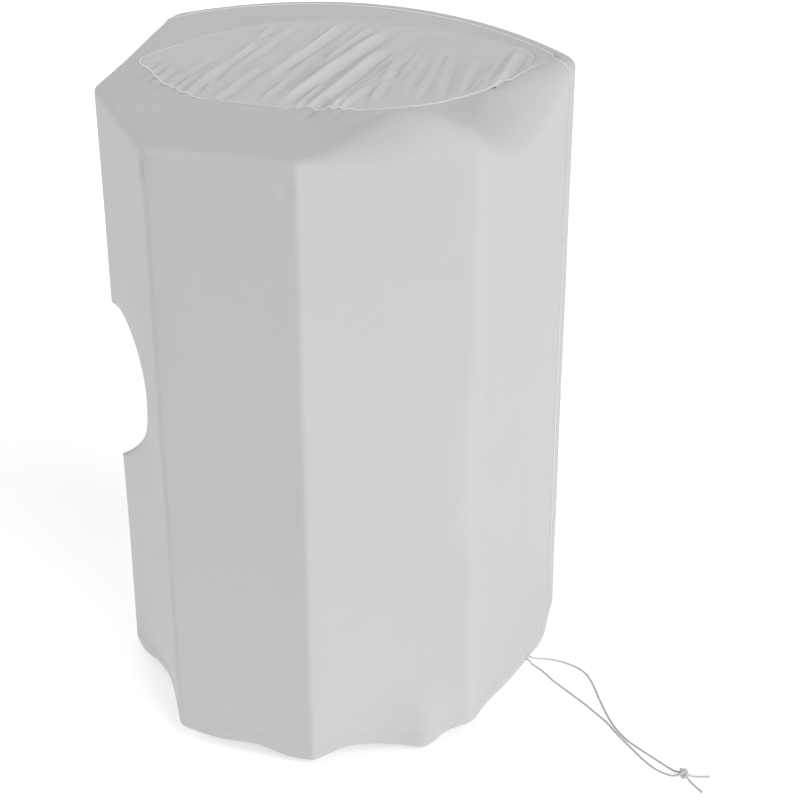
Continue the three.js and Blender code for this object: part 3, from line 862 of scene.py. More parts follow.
@dataclass(frozen=True)
class MeshParts:
    """Points, faces and per-corner weave coordinates of a mesh."""

    points: Array
    quads: Array
    uv: Array
    rub_and_crest_highlight: Array


def grid_parts(grid: Array, uv: Array, rub_and_crest_highlight: Array, chosen: Array, wraps: bool) -> MeshParts:
    """Turns the chosen cells of a grid into quads that face outwards.

    Args:
        grid: Points as (columns, rows, 3), in lay-out millimetres.
        uv: Weave coordinates; one column more than the grid where it wraps.
        rub_and_crest_highlight: Share of lightening at each point: rubbed wear on the walls, painted
            highlight on the top's fold crests.
        chosen: Which cells are kept.
        wraps: Whether the last column joins the first.

    Returns:
        The mesh's parts, with only the points that its faces use.
    """
    columns, rows = grid.shape[:2]
    i, j = np.nonzero(chosen)
    ci = np.stack([i, i, i + 1, i + 1], 1)
    cj = np.stack([j, j + 1, j + 1, j], 1)
    index = (ci % columns if wraps else ci) * rows + cj
    used, quads = np.unique(index, return_inverse=True)
    points = to_frame(grid.reshape(-1, 3)[used])
    return MeshParts(points, quads.reshape(-1, 4), uv[ci, cj].reshape(-1, 2), rub_and_crest_highlight.reshape(-1)[used])


def add_object(name: str, data: bpy.types.ID) -> bpy.types.Object:
    """Makes an object from its data and links it to the scene.

    Args:
        name: The object's name.
        data: Its mesh, light or camera.

    Returns:
        The object.
    """
    made = bpy.data.objects.new(name, data)
    bpy.context.scene.collection.objects.link(made)
    return made


def tie(piece: bpy.types.Object, nodes: tuple[str, ...] = ()) -> None:
    """Ties a piece to the part's body and to the nodes that it stands for.

    Args:
        piece: The piece.
        nodes: Nodes that it replaces, if any.
    """
    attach(piece, "root")
    if nodes:
        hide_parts(*nodes)


def make_mesh(name: str, parts: MeshParts, material: bpy.types.Material) -> bpy.types.Object:
    """Makes a smooth-shaded object with its weave map and its attribute of rubbed wear and painted crest
    highlight.

    Args:
        name: The object's name.
        parts: Its points, faces and weave coordinates.
        material: Its material.

    Returns:
        The object.
    """
    mesh = bpy.data.meshes.new(name)
    mesh.from_pydata(parts.points.tolist(), [], parts.quads.tolist())
    mesh.polygons.foreach_set("use_smooth", np.ones(len(parts.quads), bool))
    layer = mesh.uv_layers.new(name="weave")
    layer.data.foreach_set("uv", parts.uv.astype(np.float32).ravel())
    mesh.attributes.new("rub_and_crest_highlight", "FLOAT", "POINT").data.foreach_set("value", parts.rub_and_crest_highlight.astype(np.float32))
    mesh.materials.append(material)
    mesh.update()
    return add_object(name, mesh)


def tube_quads(rings: int, sides: int, closed: bool) -> Array:
    """Joins the rings of a tube with quads that face outwards.

    Args:
        rings: Number of rings.
        sides: Points on each ring.
        closed: Whether the last ring joins the first.

    Returns:
        Point numbers, four a row.
    """
    spans = rings if closed else rings - 1
    i, j = (a.ravel() for a in np.meshgrid(np.arange(spans), np.arange(sides), indexing="ij"))
    ni, nj = (i + 1) % rings, (j + 1) % sides
    return np.stack([i * sides + j, i * sides + nj, ni * sides + nj, ni * sides + j], 1)


def sweep(path: Array, radius: Array, sides: int, guide: Array, closed: bool) -> tuple[Array, Array]:
    """Carries a round section along a path.

    A ring lies across the path's tangent; its first direction is the guide less its part along the tangent.

    Args:
        path: The path's points.
        radius: Radius as one number, (points,) or (points, sides).
        sides: Corners of the section.
        guide: Direction that the section's first corner keeps to, for each point or for all.
        closed: Whether the path joins its end to its start.

    Returns:
        Points as (points * sides, 3), and quads that face outwards.
    """
    if closed:
        tangent = unit(np.roll(path, -1, axis=0) - np.roll(path, 1, axis=0))
    else:
        tangent = unit(np.gradient(path, axis=0))
    guide = np.broadcast_to(guide, path.shape)
    first = unit(guide - (guide * tangent).sum(1, keepdims=True) * tangent)
    second = np.cross(tangent, first)
    turn = 2 * math.pi * np.arange(sides) / sides
    radius = radius if np.ndim(radius) == 2 else np.reshape(radius, (-1, 1))
    radius = np.broadcast_to(radius, (len(path), sides))
    ring = first[:, None] * np.cos(turn)[:, None] + second[:, None] * np.sin(turn)[:, None]
    points = path[:, None] + ring * radius[..., None]
    return points.reshape(-1, 3), tube_quads(len(path), sides, closed)


def join_parts(blocks: list[tuple[Array, Array]]) -> MeshParts:
    """Joins blocks into one set of mesh parts, with plain weave coordinates.

    Args:
        blocks: Points and quads of each block.

    Returns:
        The mesh's parts.
    """
    starts = np.cumsum([0] + [len(points) for points, _ in blocks[:-1]])
    points = np.vstack([points for points, _ in blocks])
    quads = np.vstack([quads + start for (_, quads), start in zip(blocks, starts)])
    corner = points[quads.ravel()]
    uv = np.stack([corner[:, 0] + corner[:, 1], corner[:, 2] + corner[:, 1] * 0.3], 1)
    return MeshParts(points, quads, uv, np.zeros(len(points)))


def resample(path: Array, step: float) -> Array:
    """Spaces points evenly along a path.

    Args:
        path: The path's points.
        step: About how far apart the new points lie.

    Returns:
        The new points, from the path's start to its end.
    """
    length = run_lengths(path)
    at = np.linspace(0, length[-1], max(2, int(round(length[-1] / step)) + 1))
    return rows_at(at, length, path)


# A stitch as rings along it: where each lies in stitch lengths, its girth, and its height in half
# thicknesses; then the quads that close its two six-sided ends
STITCH_RINGS = np.array([-0.5, -0.38, 0.0, 0.38, 0.5])
STITCH_GIRTH = np.array([0.15, 0.8, 1.0, 0.8, 0.15])
STITCH_HEIGHT = np.array([-0.9, -0.35, 0.0, -0.35, -0.9])
STITCH_SIDES = 6
STITCH_CAPS = np.array([[0, 5, 4, 1], [1, 4, 3, 2], [24, 25, 28, 29], [25, 26, 27, 28]])


def stitch_block(
    path: Array, normal: Array, pitch: float, size: tuple[float, float], slant: float
) -> tuple[Array, Array]:
    """Lays short round-ended stitches along a path, each a small tube of five rings with six sides.

    Args:
        path: The seam's line, in metres.
        normal: Outward direction at each of its points.
        pitch: Distance from one stitch to the next.
        size: Length and thickness of a stitch.
        slant: How far a stitch turns from the line, in radians.

    Returns:
        Points and quads of all stitches.
    """
    length = run_lengths(path)
    at = np.arange(pitch / 2, length[-1], pitch)
    centre = rows_at(at, length, path)
    ahead = unit(rows_at(at + 0.1 * MM, length, path) - centre)
    out = unit(rows_at(at, length, normal))
    side = unit(np.cross(out, ahead))
    along = unit(ahead * math.cos(slant) + side * math.sin(slant))
    across = unit(np.cross(out, along))
    stitch_length, half = size[0], size[1] / 2
    turn = 2 * math.pi * np.arange(STITCH_SIDES) / STITCH_SIDES
    x = (STITCH_RINGS * stitch_length)[:, None] * np.ones(STITCH_SIDES)
    y = STITCH_GIRTH[:, None] * np.cos(turn) * half
    z = STITCH_GIRTH[:, None] * np.sin(turn) * half + (STITCH_HEIGHT * half)[:, None]
    points = (
        centre[:, None, None]
        + x[None, ..., None] * along[:, None, None]
        + y[None, ..., None] * across[:, None, None]
        + z[None, ..., None] * out[:, None, None]
    )
    one = np.vstack([tube_quads(len(STITCH_RINGS), STITCH_SIDES, False), STITCH_CAPS])
    starts = len(STITCH_RINGS) * STITCH_SIDES * np.arange(len(at))
    return points.reshape(-1, 3), (one[None] + starts[:, None, None]).reshape(-1, 4)


class Shader:
    """A short hand for building a material's or a group's nodes."""

    def __init__(self, tree: bpy.types.NodeTree) -> None:
        """Starts on a node tree."""
        self.tree = tree

    def node(self, kind: str, inputs: dict | None = None, **settings: object) -> bpy.types.Node:
        """Adds a node, sets its fields, and fills or links its inputs.

        Args:
            kind: The node's type name.
            inputs: Values or sockets, by input name or number.
            **settings: Fields of the node.

        Returns:
            The node.
        """
        made = self.tree.nodes.new(kind)
        for key, value in settings.items():
            setattr(made, key, value)
        for key, value in (inputs or {}).items():
            if isinstance(value, bpy.types.NodeSocket):
                self.tree.links.new(value, made.inputs[key])
            else:
                made.inputs[key].default_value = value
        return made

    def math(self, operation: str, *values: object) -> bpy.types.NodeSocket:
        """Adds a Math node and gives its result."""
        return self.node("ShaderNodeMath", dict(enumerate(values)), operation=operation).outputs[0]

    def weighted_sum(self, base: float, *terms: tuple[bpy.types.NodeSocket, float]) -> bpy.types.NodeSocket:
        """Adds up sockets and a base value.

        Args:
            base: The base value.
            *terms: Each socket with its weight.

        Returns:
            The sum's socket.
        """
        total = self.math("MULTIPLY", *terms[0])
        for term in terms[1:]:
            total = self.math("ADD", total, self.math("MULTIPLY", *term))
        return self.math("ADD", total, base)


def node_group(
    name: str, inputs: dict[str, tuple[str, object]], outputs: tuple[str, ...]
) -> tuple[Shader, dict, bpy.types.Node]:
    """Starts a shader node group with named sockets.

    Args:
        name: The group's name.
        inputs: Socket type and default for each input.
        outputs: Names of its value outputs.

    Returns:
        A Shader on the group's tree, its input sockets by name, and its output node.
    """
    tree = bpy.data.node_groups.new(name, "ShaderNodeTree")
    for key, (kind, default) in inputs.items():
        socket = tree.interface.new_socket(key, in_out="INPUT", socket_type=kind)
        if default is not None:
            socket.default_value = default
    for key in outputs:
        tree.interface.new_socket(key, in_out="OUTPUT", socket_type="NodeSocketFloat")
    shader = Shader(tree)
    entry = shader.node("NodeGroupInput")
    leave = shader.node("NodeGroupOutput")
    return shader, {key: entry.outputs[key] for key in inputs}, leave


def weave_group() -> bpy.types.NodeTree:
    """Plain weave: over and under as the product of two sines, with slubs drawn out along both threads.

    Returns:
        The group's tree.
    """
    inputs = {
        "Vector": ("NodeSocketVector", None),
        "Threads": ("NodeSocketFloat", 2200.0),
        "Slubs": ("NodeSocketFloat", 0.5),
    }
    shader, given, leave = node_group("plain_weave", inputs, ("Height", "Shade"))
    parts = shader.node("ShaderNodeSeparateXYZ", {0: given["Vector"]})
    turns = shader.math("MULTIPLY", given["Threads"], math.pi)
    across = shader.math("SINE", shader.math("MULTIPLY", parts.outputs[0], turns))
    along = shader.math("SINE", shader.math("MULTIPLY", parts.outputs[1], turns))
    woven = shader.math("MULTIPLY", across, along)
    noise = []
    for stretch in ((9.0, 620.0, 1.0), (560.0, 7.0, 1.0)):
        drawn = shader.node("ShaderNodeMapping", {"Vector": given["Vector"], "Scale": stretch}).outputs[0]
        noise.append(shader.node("ShaderNodeTexNoise", {"Vector": drawn, "Scale": 1.0, "Detail": 2.0}))
    slubs = shader.math("ADD", noise[0].outputs[0], shader.math("MULTIPLY", noise[1].outputs[0], 0.5))
    slubs = shader.math("MULTIPLY", shader.math("SUBTRACT", slubs, 0.75), given["Slubs"])
    height = shader.math("ADD", shader.math("MULTIPLY", woven, 0.5), slubs)
    links = shader.tree.links
    links.new(height, leave.inputs["Height"])
    links.new(shader.math("ADD", shader.math("MULTIPLY", woven, 0.25), slubs), leave.inputs["Shade"])
    return shader.tree


def handling_group() -> bpy.types.NodeTree:
    """Uneven tone from handling, as cloudy noise about zero, and specks of dust.

    Returns:
        The group's tree.
    """
    inputs = {"Vector": ("NodeSocketVector", None), "Size": ("NodeSocketFloat", 6.0)}
    shader, given, leave = node_group("handling", inputs, ("Shade", "Dust"))
    vector = given["Vector"]
    clouds = shader.node("ShaderNodeTexNoise", {"Vector": vector, "Scale": given["Size"], "Detail": 3.0})
    specks = shader.node("ShaderNodeTexNoise", {"Vector": vector, "Scale": 260.0, "Detail": 2.0})
    shader.tree.links.new(shader.math("SUBTRACT", clouds.outputs[0], 0.5), leave.inputs["Shade"])
    dust = shader.math("MULTIPLY", shader.math("SUBTRACT", specks.outputs[0], 0.62), 4.0)
    shader.tree.links.new(shader.math("MAXIMUM", dust, 0.0), leave.inputs["Dust"])
    return shader.tree


class ThreadWay(Enum):
    """Which coordinates a woven or braided finish follows."""

    WEAVE_MAP = "weave"
    OBJECT = "object"


@dataclass(frozen=True)
class WovenFinish:
    """A dull woven finish: tone, roughness and the size of its threads."""

    name: str
    color: tuple[float, float, float]
    roughness: float = 0.7
    sheen: float = 0.25
    threads: float = 2200.0
    slubs: float = 0.5
    relief: float = 0.00007
    follows: ThreadWay = ThreadWay.WEAVE_MAP
    # How far the wear and painted crest highlight attribute lightens the base colour
    rub_and_highlight_gain: float = 0.03

    def make(self, weave_tree: bpy.types.NodeTree, handling_tree: bpy.types.NodeTree) -> bpy.types.Material:
        """Builds the material: weave, slubs, cloudy tone, dust, rubbed edges and a painted highlight on
        fold crests, on one cloth shader.

        Args:
            weave_tree: The weave's node group.
            handling_tree: The node group of handling and dust.

        Returns:
            The material.
        """
        material = bpy.data.materials.new(self.name)
        material.use_nodes = True
        shader = Shader(material.node_tree)
        coat = material.node_tree.nodes["Principled BSDF"]
        coordinates = shader.node("ShaderNodeTexCoord")
        if self.follows is ThreadWay.WEAVE_MAP:
            thread_vector = shader.node("ShaderNodeUVMap", uv_map="weave").outputs[0]
        else:
            thread_vector = coordinates.outputs["Object"]
        weave = shader.node("ShaderNodeGroup", node_tree=weave_tree)
        material.node_tree.links.new(thread_vector, weave.inputs["Vector"])
        weave.inputs["Threads"].default_value = self.threads
        weave.inputs["Slubs"].default_value = self.slubs
        handling = shader.node("ShaderNodeGroup", node_tree=handling_tree)
        material.node_tree.links.new(coordinates.outputs["Object"], handling.inputs["Vector"])
        rub_and_crest_highlight = shader.node("ShaderNodeAttribute", attribute_name="rub_and_crest_highlight").outputs["Fac"]
        shade, cloud, dust = weave.outputs["Shade"], handling.outputs["Shade"], handling.outputs["Dust"]
        # The lightening attribute raises the base colour: rubbed wear on the walls' corners, shoulder and
        # hem, and a painted highlight along the top's fold crests
        tone = shader.weighted_sum(1.0, (shade, 0.07), (cloud, 0.06), (rub_and_crest_highlight, self.rub_and_highlight_gain), (dust, -0.02))
        mix = {0: 1.0, 6: (*self.color, 1.0), 7: tone}
        color = shader.node("ShaderNodeMix", mix, data_type="RGBA", blend_type="MULTIPLY")
        rough = shader.weighted_sum(self.roughness, (shade, 0.1), (rub_and_crest_highlight, 0.06))
        raised = {"Height": weave.outputs["Height"], "Distance": self.relief, "Strength": 0.6}
        bump = shader.node("ShaderNodeBump", raised)
        material.node_tree.links.new(color.outputs[2], coat.inputs["Base Color"])
        material.node_tree.links.new(rough, coat.inputs["Roughness"])
        material.node_tree.links.new(bump.outputs[0], coat.inputs["Normal"])
        coat.inputs["Sheen Weight"].default_value = self.sheen
        coat.inputs["Sheen Roughness"].default_value = 0.5
        coat.inputs["Specular IOR Level"].default_value = 0.3
        return material


@dataclass(frozen=True)
class ThreadFinish(WovenFinish):
    """A finish whose threads follow the piece's own place: a welt, sewing thread or a braid."""

    follows: ThreadWay = ThreadWay.OBJECT
    sheen: float = 0.3


class Finish(Enum):
    """The finishes of this cover."""

    WALL = WovenFinish("wall_cloth_finish", (0.464, 0.464, 0.461))
    FRONT = WovenFinish("front_cloth_finish", (0.464, 0.464, 0.461))
    # Painted light: the top cloth's base colour is lighter than the walls' to brighten the top, which the
    # lamps light less; its larger gain paints a stronger highlight along the fold crests
    TOP = WovenFinish("top_cloth_painted_light_finish", (0.49, 0.49, 0.489), roughness=0.62, sheen=0.3, rub_and_highlight_gain=0.12)
    WELT = ThreadFinish(
        "welt_cloth_finish", (0.505, 0.505, 0.503), roughness=0.65, sheen=0.25, slubs=0.4, relief=0.00005
    )
    THREAD = ThreadFinish(
        "white_thread_finish", (0.93, 0.93, 0.92), roughness=0.6, threads=1400.0, slubs=0.3, relief=0.00008
    )
    HEM_THREAD = ThreadFinish(
        "hem_thread_finish", (0.49, 0.49, 0.486), roughness=0.65, threads=1400.0, slubs=0.3, relief=0.00008
    )
    CORD = ThreadFinish(
        "cord_finish", (0.52, 0.52, 0.51), roughness=0.75, threads=900.0, slubs=0.6, relief=0.0001
    )


@dataclass
class Finishes:
    """The shader node groups that the finishes share, and each finish's material, made once."""

    weave: bpy.types.NodeTree = field(default_factory=weave_group)
    handling: bpy.types.NodeTree = field(default_factory=handling_group)
    made: dict[Finish, bpy.types.Material] = field(default_factory=dict)

    def material(self, finish: Finish) -> bpy.types.Material:
        """Gives the material of a finish, built the first time that it is asked for.

        Args:
            finish: The finish.

        Returns:
            Its material.
        """
        if finish not in self.made:
            self.made[finish] = finish.value.make(self.weave, self.handling)
        return self.made[finish]


@dataclass(frozen=True)
class Sun:
    """A wide, even light: where it comes from, how broad it is in degrees, and its strength."""

    name: str
    toward: tuple[float, float, float]
    breadth: float
    strength: float

    def hang(self) -> None:
        """Hangs the light, turned so that it shines from its side towards the cover."""
        data = bpy.data.lights.new(self.name, "SUN")
        data.angle, data.energy = math.radians(self.breadth), self.strength
        light = add_object(self.name, data)
        light.rotation_mode = "QUATERNION"
        light.rotation_quaternion = Vector(self.toward).to_track_quat("Z", "Y")
        light.location = Vector(self.toward) * 3.0


# The key from the right and the fill from the left
SUNS = (Sun("key", (0.885, -0.465, 0.62), 46.0, 2.49), Sun("fill", (-1.0, 0.0, 0.62), 60.0, 1.30))


@dataclass
class Studio:
    """Pale floor, soft lights and the camera at the photo's angle."""

    location: tuple[float, float, float] = (0.600, -1.6172, 0.5012)
    heading: tuple[float, float] = (-0.3020, 0.9533)
    pitch: float = math.radians(25.65)
    roll: float = math.radians(0.16)
    lens: float = 84.8
    world: float = 0.31
    floor_half: float = 9.0
    floor_glow: float = 0.61

    def place_camera(self) -> None:
        """Builds the camera from its heading, downward pitch and small roll."""
        data = bpy.data.cameras.new("camera")
        data.lens, data.sensor_width, data.clip_end = self.lens, 36.0, 100.0
        camera = add_object("camera", data)
        level = Vector((*self.heading, 0.0)).normalized()
        forward = level * math.cos(self.pitch) - Vector((0, 0, math.sin(self.pitch)))
        right = Vector((level.y, -level.x, 0.0))
        up = right.cross(forward)
        turned_right = right * math.cos(self.roll) - up * math.sin(self.roll)
        turned_up = up * math.cos(self.roll) + right * math.sin(self.roll)
        pose = Matrix((turned_right, turned_up, -forward)).transposed().to_4x4()
        pose.translation = Vector(self.location)
        camera.matrix_world = pose
        bpy.context.scene.camera = camera

    def lay_floor(self) -> None:
        """Lays a wide pale floor under the drawcord."""
        level = to_frame([0, 0, REST])[2]
        mesh = bpy.data.meshes.new("floor")
        signs, half = ((-1, -1), (1, -1), (1, 1), (-1, 1)), self.floor_half
        corners = [(x * half, y * half, level) for x, y in signs]
        mesh.from_pydata(corners, [], [(0, 1, 2, 3)])
        material = bpy.data.materials.new("floor_finish")
        material.use_nodes = True
        shader = Shader(material.node_tree)
        coat = material.node_tree.nodes["Principled BSDF"]
        coordinates = shader.node("ShaderNodeTexCoord")
        noise = shader.node("ShaderNodeTexNoise", {"Vector": coordinates.outputs["Object"], "Scale": 3.0})
        tone = shader.math("ADD", shader.math("MULTIPLY", noise.outputs[0], 0.01), 0.6)
        material.node_tree.links.new(tone, coat.inputs["Base Color"])
        coat.inputs["Roughness"].default_value = 0.95
        coat.inputs["Specular IOR Level"].default_value = 0.1
        coat.inputs["Emission Color"].default_value = (1.0, 1.0, 1.0, 1.0)
        coat.inputs["Emission Strength"].default_value = self.floor_glow
        mesh.materials.append(material)
        add_object("floor", mesh)

    def hang_lights(self) -> None:
        """Sets the even room light, plain white where the camera looks past the floor, and the suns."""
        world = bpy.data.worlds.new("world")
        world.use_nodes = True
        world.node_tree.nodes["Background"].inputs[0].default_value = (1.0, 1.0, 1.0, 1.0)
        shader = Shader(world.node_tree)
        seen = shader.node("ShaderNodeLightPath").outputs["Is Camera Ray"]
        strength = shader.math("ADD", shader.math("MULTIPLY", seen, 1.0 - self.world), self.world)
        world.node_tree.links.new(strength, world.node_tree.nodes["Background"].inputs[1])
        bpy.context.scene.world = world
        bpy.context.scene.view_settings.view_transform = "Standard"
        for sun in SUNS:
            sun.hang()


@dataclass
class ClothPieces:
    """The three cloths of the cover, cut out of one skin and the oval top."""

    skin: CoverSkin
    finishes: Finishes
    panel_columns: int = 216
    panel_rows: int = 132
    # Fold height at which the painted highlight on the top's crests is full
    full_crest_highlight: float = 4.5

    def cloth(self, node: str, parts: MeshParts, finish: Finish) -> bpy.types.Object:
        """Makes one cloth, with its thickness inwards from the face that shows.

        Args:
            node: The node that it stands for.
            parts: Its mesh parts.
            finish: Its finish.

        Returns:
            The cloth.
        """
        piece = make_mesh(node + "_sewn", parts, self.finishes.material(finish))
        wall = piece.modifiers.new("cloth_thickness", "SOLIDIFY")
        wall.thickness = SHEET * MM
        wall.offset = -1.0
        wall.use_rim = True
        tie(piece, (node,))
        return piece

    def wall_cloth(self) -> bpy.types.Object:
        """The cloth round the sides and rear, over the shoulder and in to the top seam.

        Returns:
            The cloth.
        """
        skin = self.skin
        chosen = np.ones((skin.stations.count, skin.grid.shape[1] - 1), bool)
        slot_row = skin.rows["end"] + 2
        chosen[skin.front_cells() | skin.seam_cells(), :slot_row + 1] = False
        parts = grid_parts(skin.grid, skin.uv, skin.rub_and_crest_highlight, chosen, True)
        piece = self.cloth("wall_cloth", parts, Finish.WALL)
        return piece

    def front_panel(self) -> bpy.types.Object:
        """The bowed front, from one front seam to the other and up over the front edge.

        Returns:
            The cloth.
        """
        skin = self.skin
        chosen = np.zeros((skin.stations.count, skin.grid.shape[1] - 1), bool)
        chosen[skin.front_cells(), :skin.rows["end"] + 2] = True
        parts = grid_parts(skin.grid, skin.uv, skin.rub_and_crest_highlight, chosen, True)
        piece = self.cloth("front_panel", parts, Finish.FRONT)
        return piece

    def top_panel(self) -> bpy.types.Object:
        """The oval top panel: a square grid drawn onto the oval, on the folds.

        A point (u, v) of the square goes to the disc point (u root(1 - v v / 2), v root(1 - u u / 2)), and
        the disc is stretched to the seam's radius in each direction.

        Returns:
            The cloth.
        """
        columns, rows = np.linspace(1, -1, self.panel_columns + 1), np.linspace(-1, 1, self.panel_rows + 1)
        u, v = np.meshgrid(columns, rows, indexing="ij")
        x, y = u * np.sqrt(1 - v * v / 2), v * np.sqrt(1 - u * u / 2)
        angle = np.arctan2(y, x)
        px, py = over_top(angle, np.hypot(x, y) * (OVAL.radius(angle) - SEAM_GAP / 2))
        grid = np.stack([px, py, TOP.surface(px, py)], -1)
        uv = np.stack([px, py], -1) * MM
        # Painted highlight: the top's base colour is lightened along the fold crests, through the same
        # attribute as the walls' rubbed wear
        crest = np.clip(TOP.folds(px, py) / self.full_crest_highlight, 0, 1) ** 2
        chosen = np.ones((self.panel_columns, self.panel_rows), bool)
        parts = grid_parts(grid, uv, crest, chosen, False)
        piece = self.cloth("top_panel", parts, Finish.TOP)
        return piece


@dataclass
class Sewing:
    """The raised seams with their white thread, and the stitching of the hem's casing."""

    skin: CoverSkin
    finishes: Finishes
    welt: float = 0.95
    thread: float = 0.92
    pitch: float = 2.6
    stitch: float = 2.3
    slant: float = 0.32
    hem_pitch: float = 3.2
    hem_stitch: float = 2.6
    hem_thread: float = 0.45
    strained: tuple[tuple[float, float], ...] = ((-140.0, 52.0), (48.0, 26.0), (158.0, 46.0))

    def seam_piece(
        self, node: str, line: Array, out: Array, closed: bool, welt: float, shown: Array
    ) -> bpy.types.Object:
        """Makes one raised seam: a rounded welt of cloth with slanted white stitches wound over it.

        Args:
            node: The node that it stands for.
            line: The seam's line, in metres.
            out: Outward direction at each of its points.
            closed: Whether the line joins its end to its start.
            welt: Half the welt's width, in millimetres.
            shown: How far the thread stands out of the welt at each point, 0 to 1.

        Returns:
            The seam.
        """
        width = np.full(len(line), welt * MM)
        if not closed:
            width[[0, -1]] *= 0.2
        blocks = [sweep(line, width, 10, out, closed)]
        top = line + out * (welt - 0.5 + 0.6 * shown[:, None]) * MM
        size = (self.stitch * MM, self.thread * MM)
        blocks.append(stitch_block(top, out, self.pitch * MM, size, self.slant))
        piece = make_mesh(node + "_sewn", join_parts(blocks), self.finishes.material(Finish.WELT))
        piece.data.materials.append(self.finishes.material(Finish.THREAD))
        sewn = np.arange(len(piece.data.polygons)) >= len(blocks[0][1])
        piece.data.polygons.foreach_set("material_index", sewn.astype(np.int32))
        tie(piece, (node,))
        return piece

    def top_seam(self) -> bpy.types.Object:
        """The seam round the oval panel, its thread plainest on the near side, where the cloth strains.

        Returns:
            The seam.
        """
        angle = np.linspace(0, 2 * math.pi, 560, endpoint=False)
        x, y = over_top(angle, OVAL.radius(angle))
        line = to_frame(np.column_stack([x, y, TOP.surface(x, y)]))
        near = smooth(0.5 - np.sin(angle) * 1.4)
        strained = sum(np.exp(-(((x - at) / reach) ** 2)) for at, reach in self.strained)
        shown = near * (0.3 + 0.7 * np.minimum(strained, 1.0))
        up = np.tile([0.0, 0.0, 1.0], (len(line), 1))
        return self.seam_piece("top_seam", line, up, True, self.welt, shown)

    def front_seam(self) -> bpy.types.Object:
        """The seam up the right front corner, along the front edge of the top and down the left.

        Returns:
            The seam.
        """
        skin, s = self.skin, self.skin.stations
        end = skin.rows["end"]
        first = skin.rows["wall"]

        def upright(column: int) -> tuple[Array, Array]:
            """Follows one column of the gap up the wall and over the shoulder.

            Args:
                column: The station that starts the gap.

            Returns:
                The line's points, and the outward direction at each.
            """
            line = (skin.grid[column, first:end + 1] + skin.grid[column + 1, first:end + 1]) / 2
            lean = np.zeros(len(line))
            lean[skin.rows["shoulder"] - first:] = np.linspace(0, math.pi / 2, skin.shoulder_steps + 1)
            level, up = s.level_out[column], np.array([0.0, 0.0, 1.0])
            return line, np.cos(lean)[:, None] * level + np.sin(lean)[:, None] * up

        right, right_out = upright(s.seam_right)
        left, left_out = upright(s.seam_left)
        columns = np.concatenate([np.arange(s.seam_right, -1, -1), np.arange(s.count - 1, s.seam_left, -1)])
        across = (skin.grid[columns, end + 2] + skin.grid[columns, end + 3]) / 2
        line = np.vstack([right, across, left[::-1]])
        up = np.tile([0.0, 0.0, 1.0], (len(across), 1))
        out = np.vstack([right_out, up, left_out[::-1]])
        keep = np.concatenate([[True], np.linalg.norm(np.diff(line, axis=0), axis=1) > 0.4])
        line, out = line[keep], out[keep]
        eased = np.vstack([line[:1], line[:-2] * 0.25 + line[1:-1] * 0.5 + line[2:] * 0.25, line[-1:]])
        uneven = SoftNoise(42).at(np.arange(len(line)) / 40.0 + 20.0, np.zeros(len(line)))
        shown = 0.3 + 0.45 * out[:, 2] + 0.25 * uneven
        return self.seam_piece("front_seam", to_frame(eased), out, False, self.welt * 0.85, shown)

    def hem_stitches(self) -> bpy.types.Object:
        """The line of stitches that closes the hem's casing, sunk into its groove.

        Returns:
            The stitches.
        """
        line = to_frame(self.skin.grid[:, self.skin.rows["wall"] + 5])
        out = self.skin.stations.level_out
        line, out = np.vstack([line, line[:1]]), np.vstack([out, out[:1]])
        size = (self.hem_stitch * MM, self.hem_thread * MM)
        block = stitch_block(line + out * 0.1 * MM, out, self.hem_pitch * MM, size, 0.0)
        piece = make_mesh("hem_stitches", join_parts([block]), self.finishes.material(Finish.HEM_THREAD))
        tie(piece)
        return piece


# Routes of the drawcord in metres, in the part's frame, the same points as the solids': the two strands
# from the hem to the knot, the two tails past it, and the knot's middle
STRAND_UPPER = (
    (0.2200, 0.0255, -0.6070), (0.2230, 0.0265, -0.6080), (0.2290, 0.0310, -0.6116),
    (0.2360, 0.0346, -0.6130), (0.2470, 0.0355, -0.6130), (0.2620, 0.0330, -0.6130),
    (0.2745, 0.0280, -0.6130), (0.2845, 0.0205, -0.6130), (0.2925, 0.0095, -0.6130),
    (0.3000, -0.0045, -0.6130), (0.3075, -0.0200, -0.6130), (0.3170, -0.0380, -0.6130),
    (0.3265, -0.0545, -0.6130), (0.3370, -0.0695, -0.6130), (0.3495, -0.0825, -0.6130),
    (0.3625, -0.0920, -0.6130), (0.3760, -0.1010, -0.6130), (0.3895, -0.1100, -0.6130),
    (0.4025, -0.1188, -0.6122), (0.4072, -0.1221, -0.6101),
)
STRAND_LOWER = (
    (0.2193, 0.0210, -0.6070), (0.2226, 0.0206, -0.6082), (0.2285, 0.0186, -0.6118),
    (0.2350, 0.0156, -0.6130), (0.2435, 0.0085, -0.6130), (0.2540, -0.0015, -0.6130),
    (0.2680, -0.0125, -0.6130), (0.2835, -0.0245, -0.6130), (0.2980, -0.0360, -0.6130),
    (0.3110, -0.0475, -0.6130), (0.3230, -0.0580, -0.6130), (0.3345, -0.0715, -0.6130),
    (0.3470, -0.0850, -0.6130), (0.3585, -0.0970, -0.6130), (0.3705, -0.1090, -0.6130),
    (0.3830, -0.1195, -0.6130), (0.3950, -0.1250, -0.6130), (0.4035, -0.1267, -0.6122),
    (0.4072, -0.1265, -0.6104),
)
TAIL_UPPER = (
    (0.4168, -0.1234, -0.6102), (0.4205, -0.1220, -0.6122), (0.4255, -0.1204, -0.6130),
    (0.4310, -0.1186, -0.6130), (0.4370, -0.1166, -0.6130),
)
TAIL_LOWER = (
    (0.4158, -0.1270, -0.6102), (0.4196, -0.1302, -0.6122), (0.4245, -0.1345, -0.6130),
    (0.4293, -0.1390, -0.6130), (0.4340, -0.1435, -0.6130),
)
KNOT_MIDDLE = (0.4118, -0.1242, -0.6089)


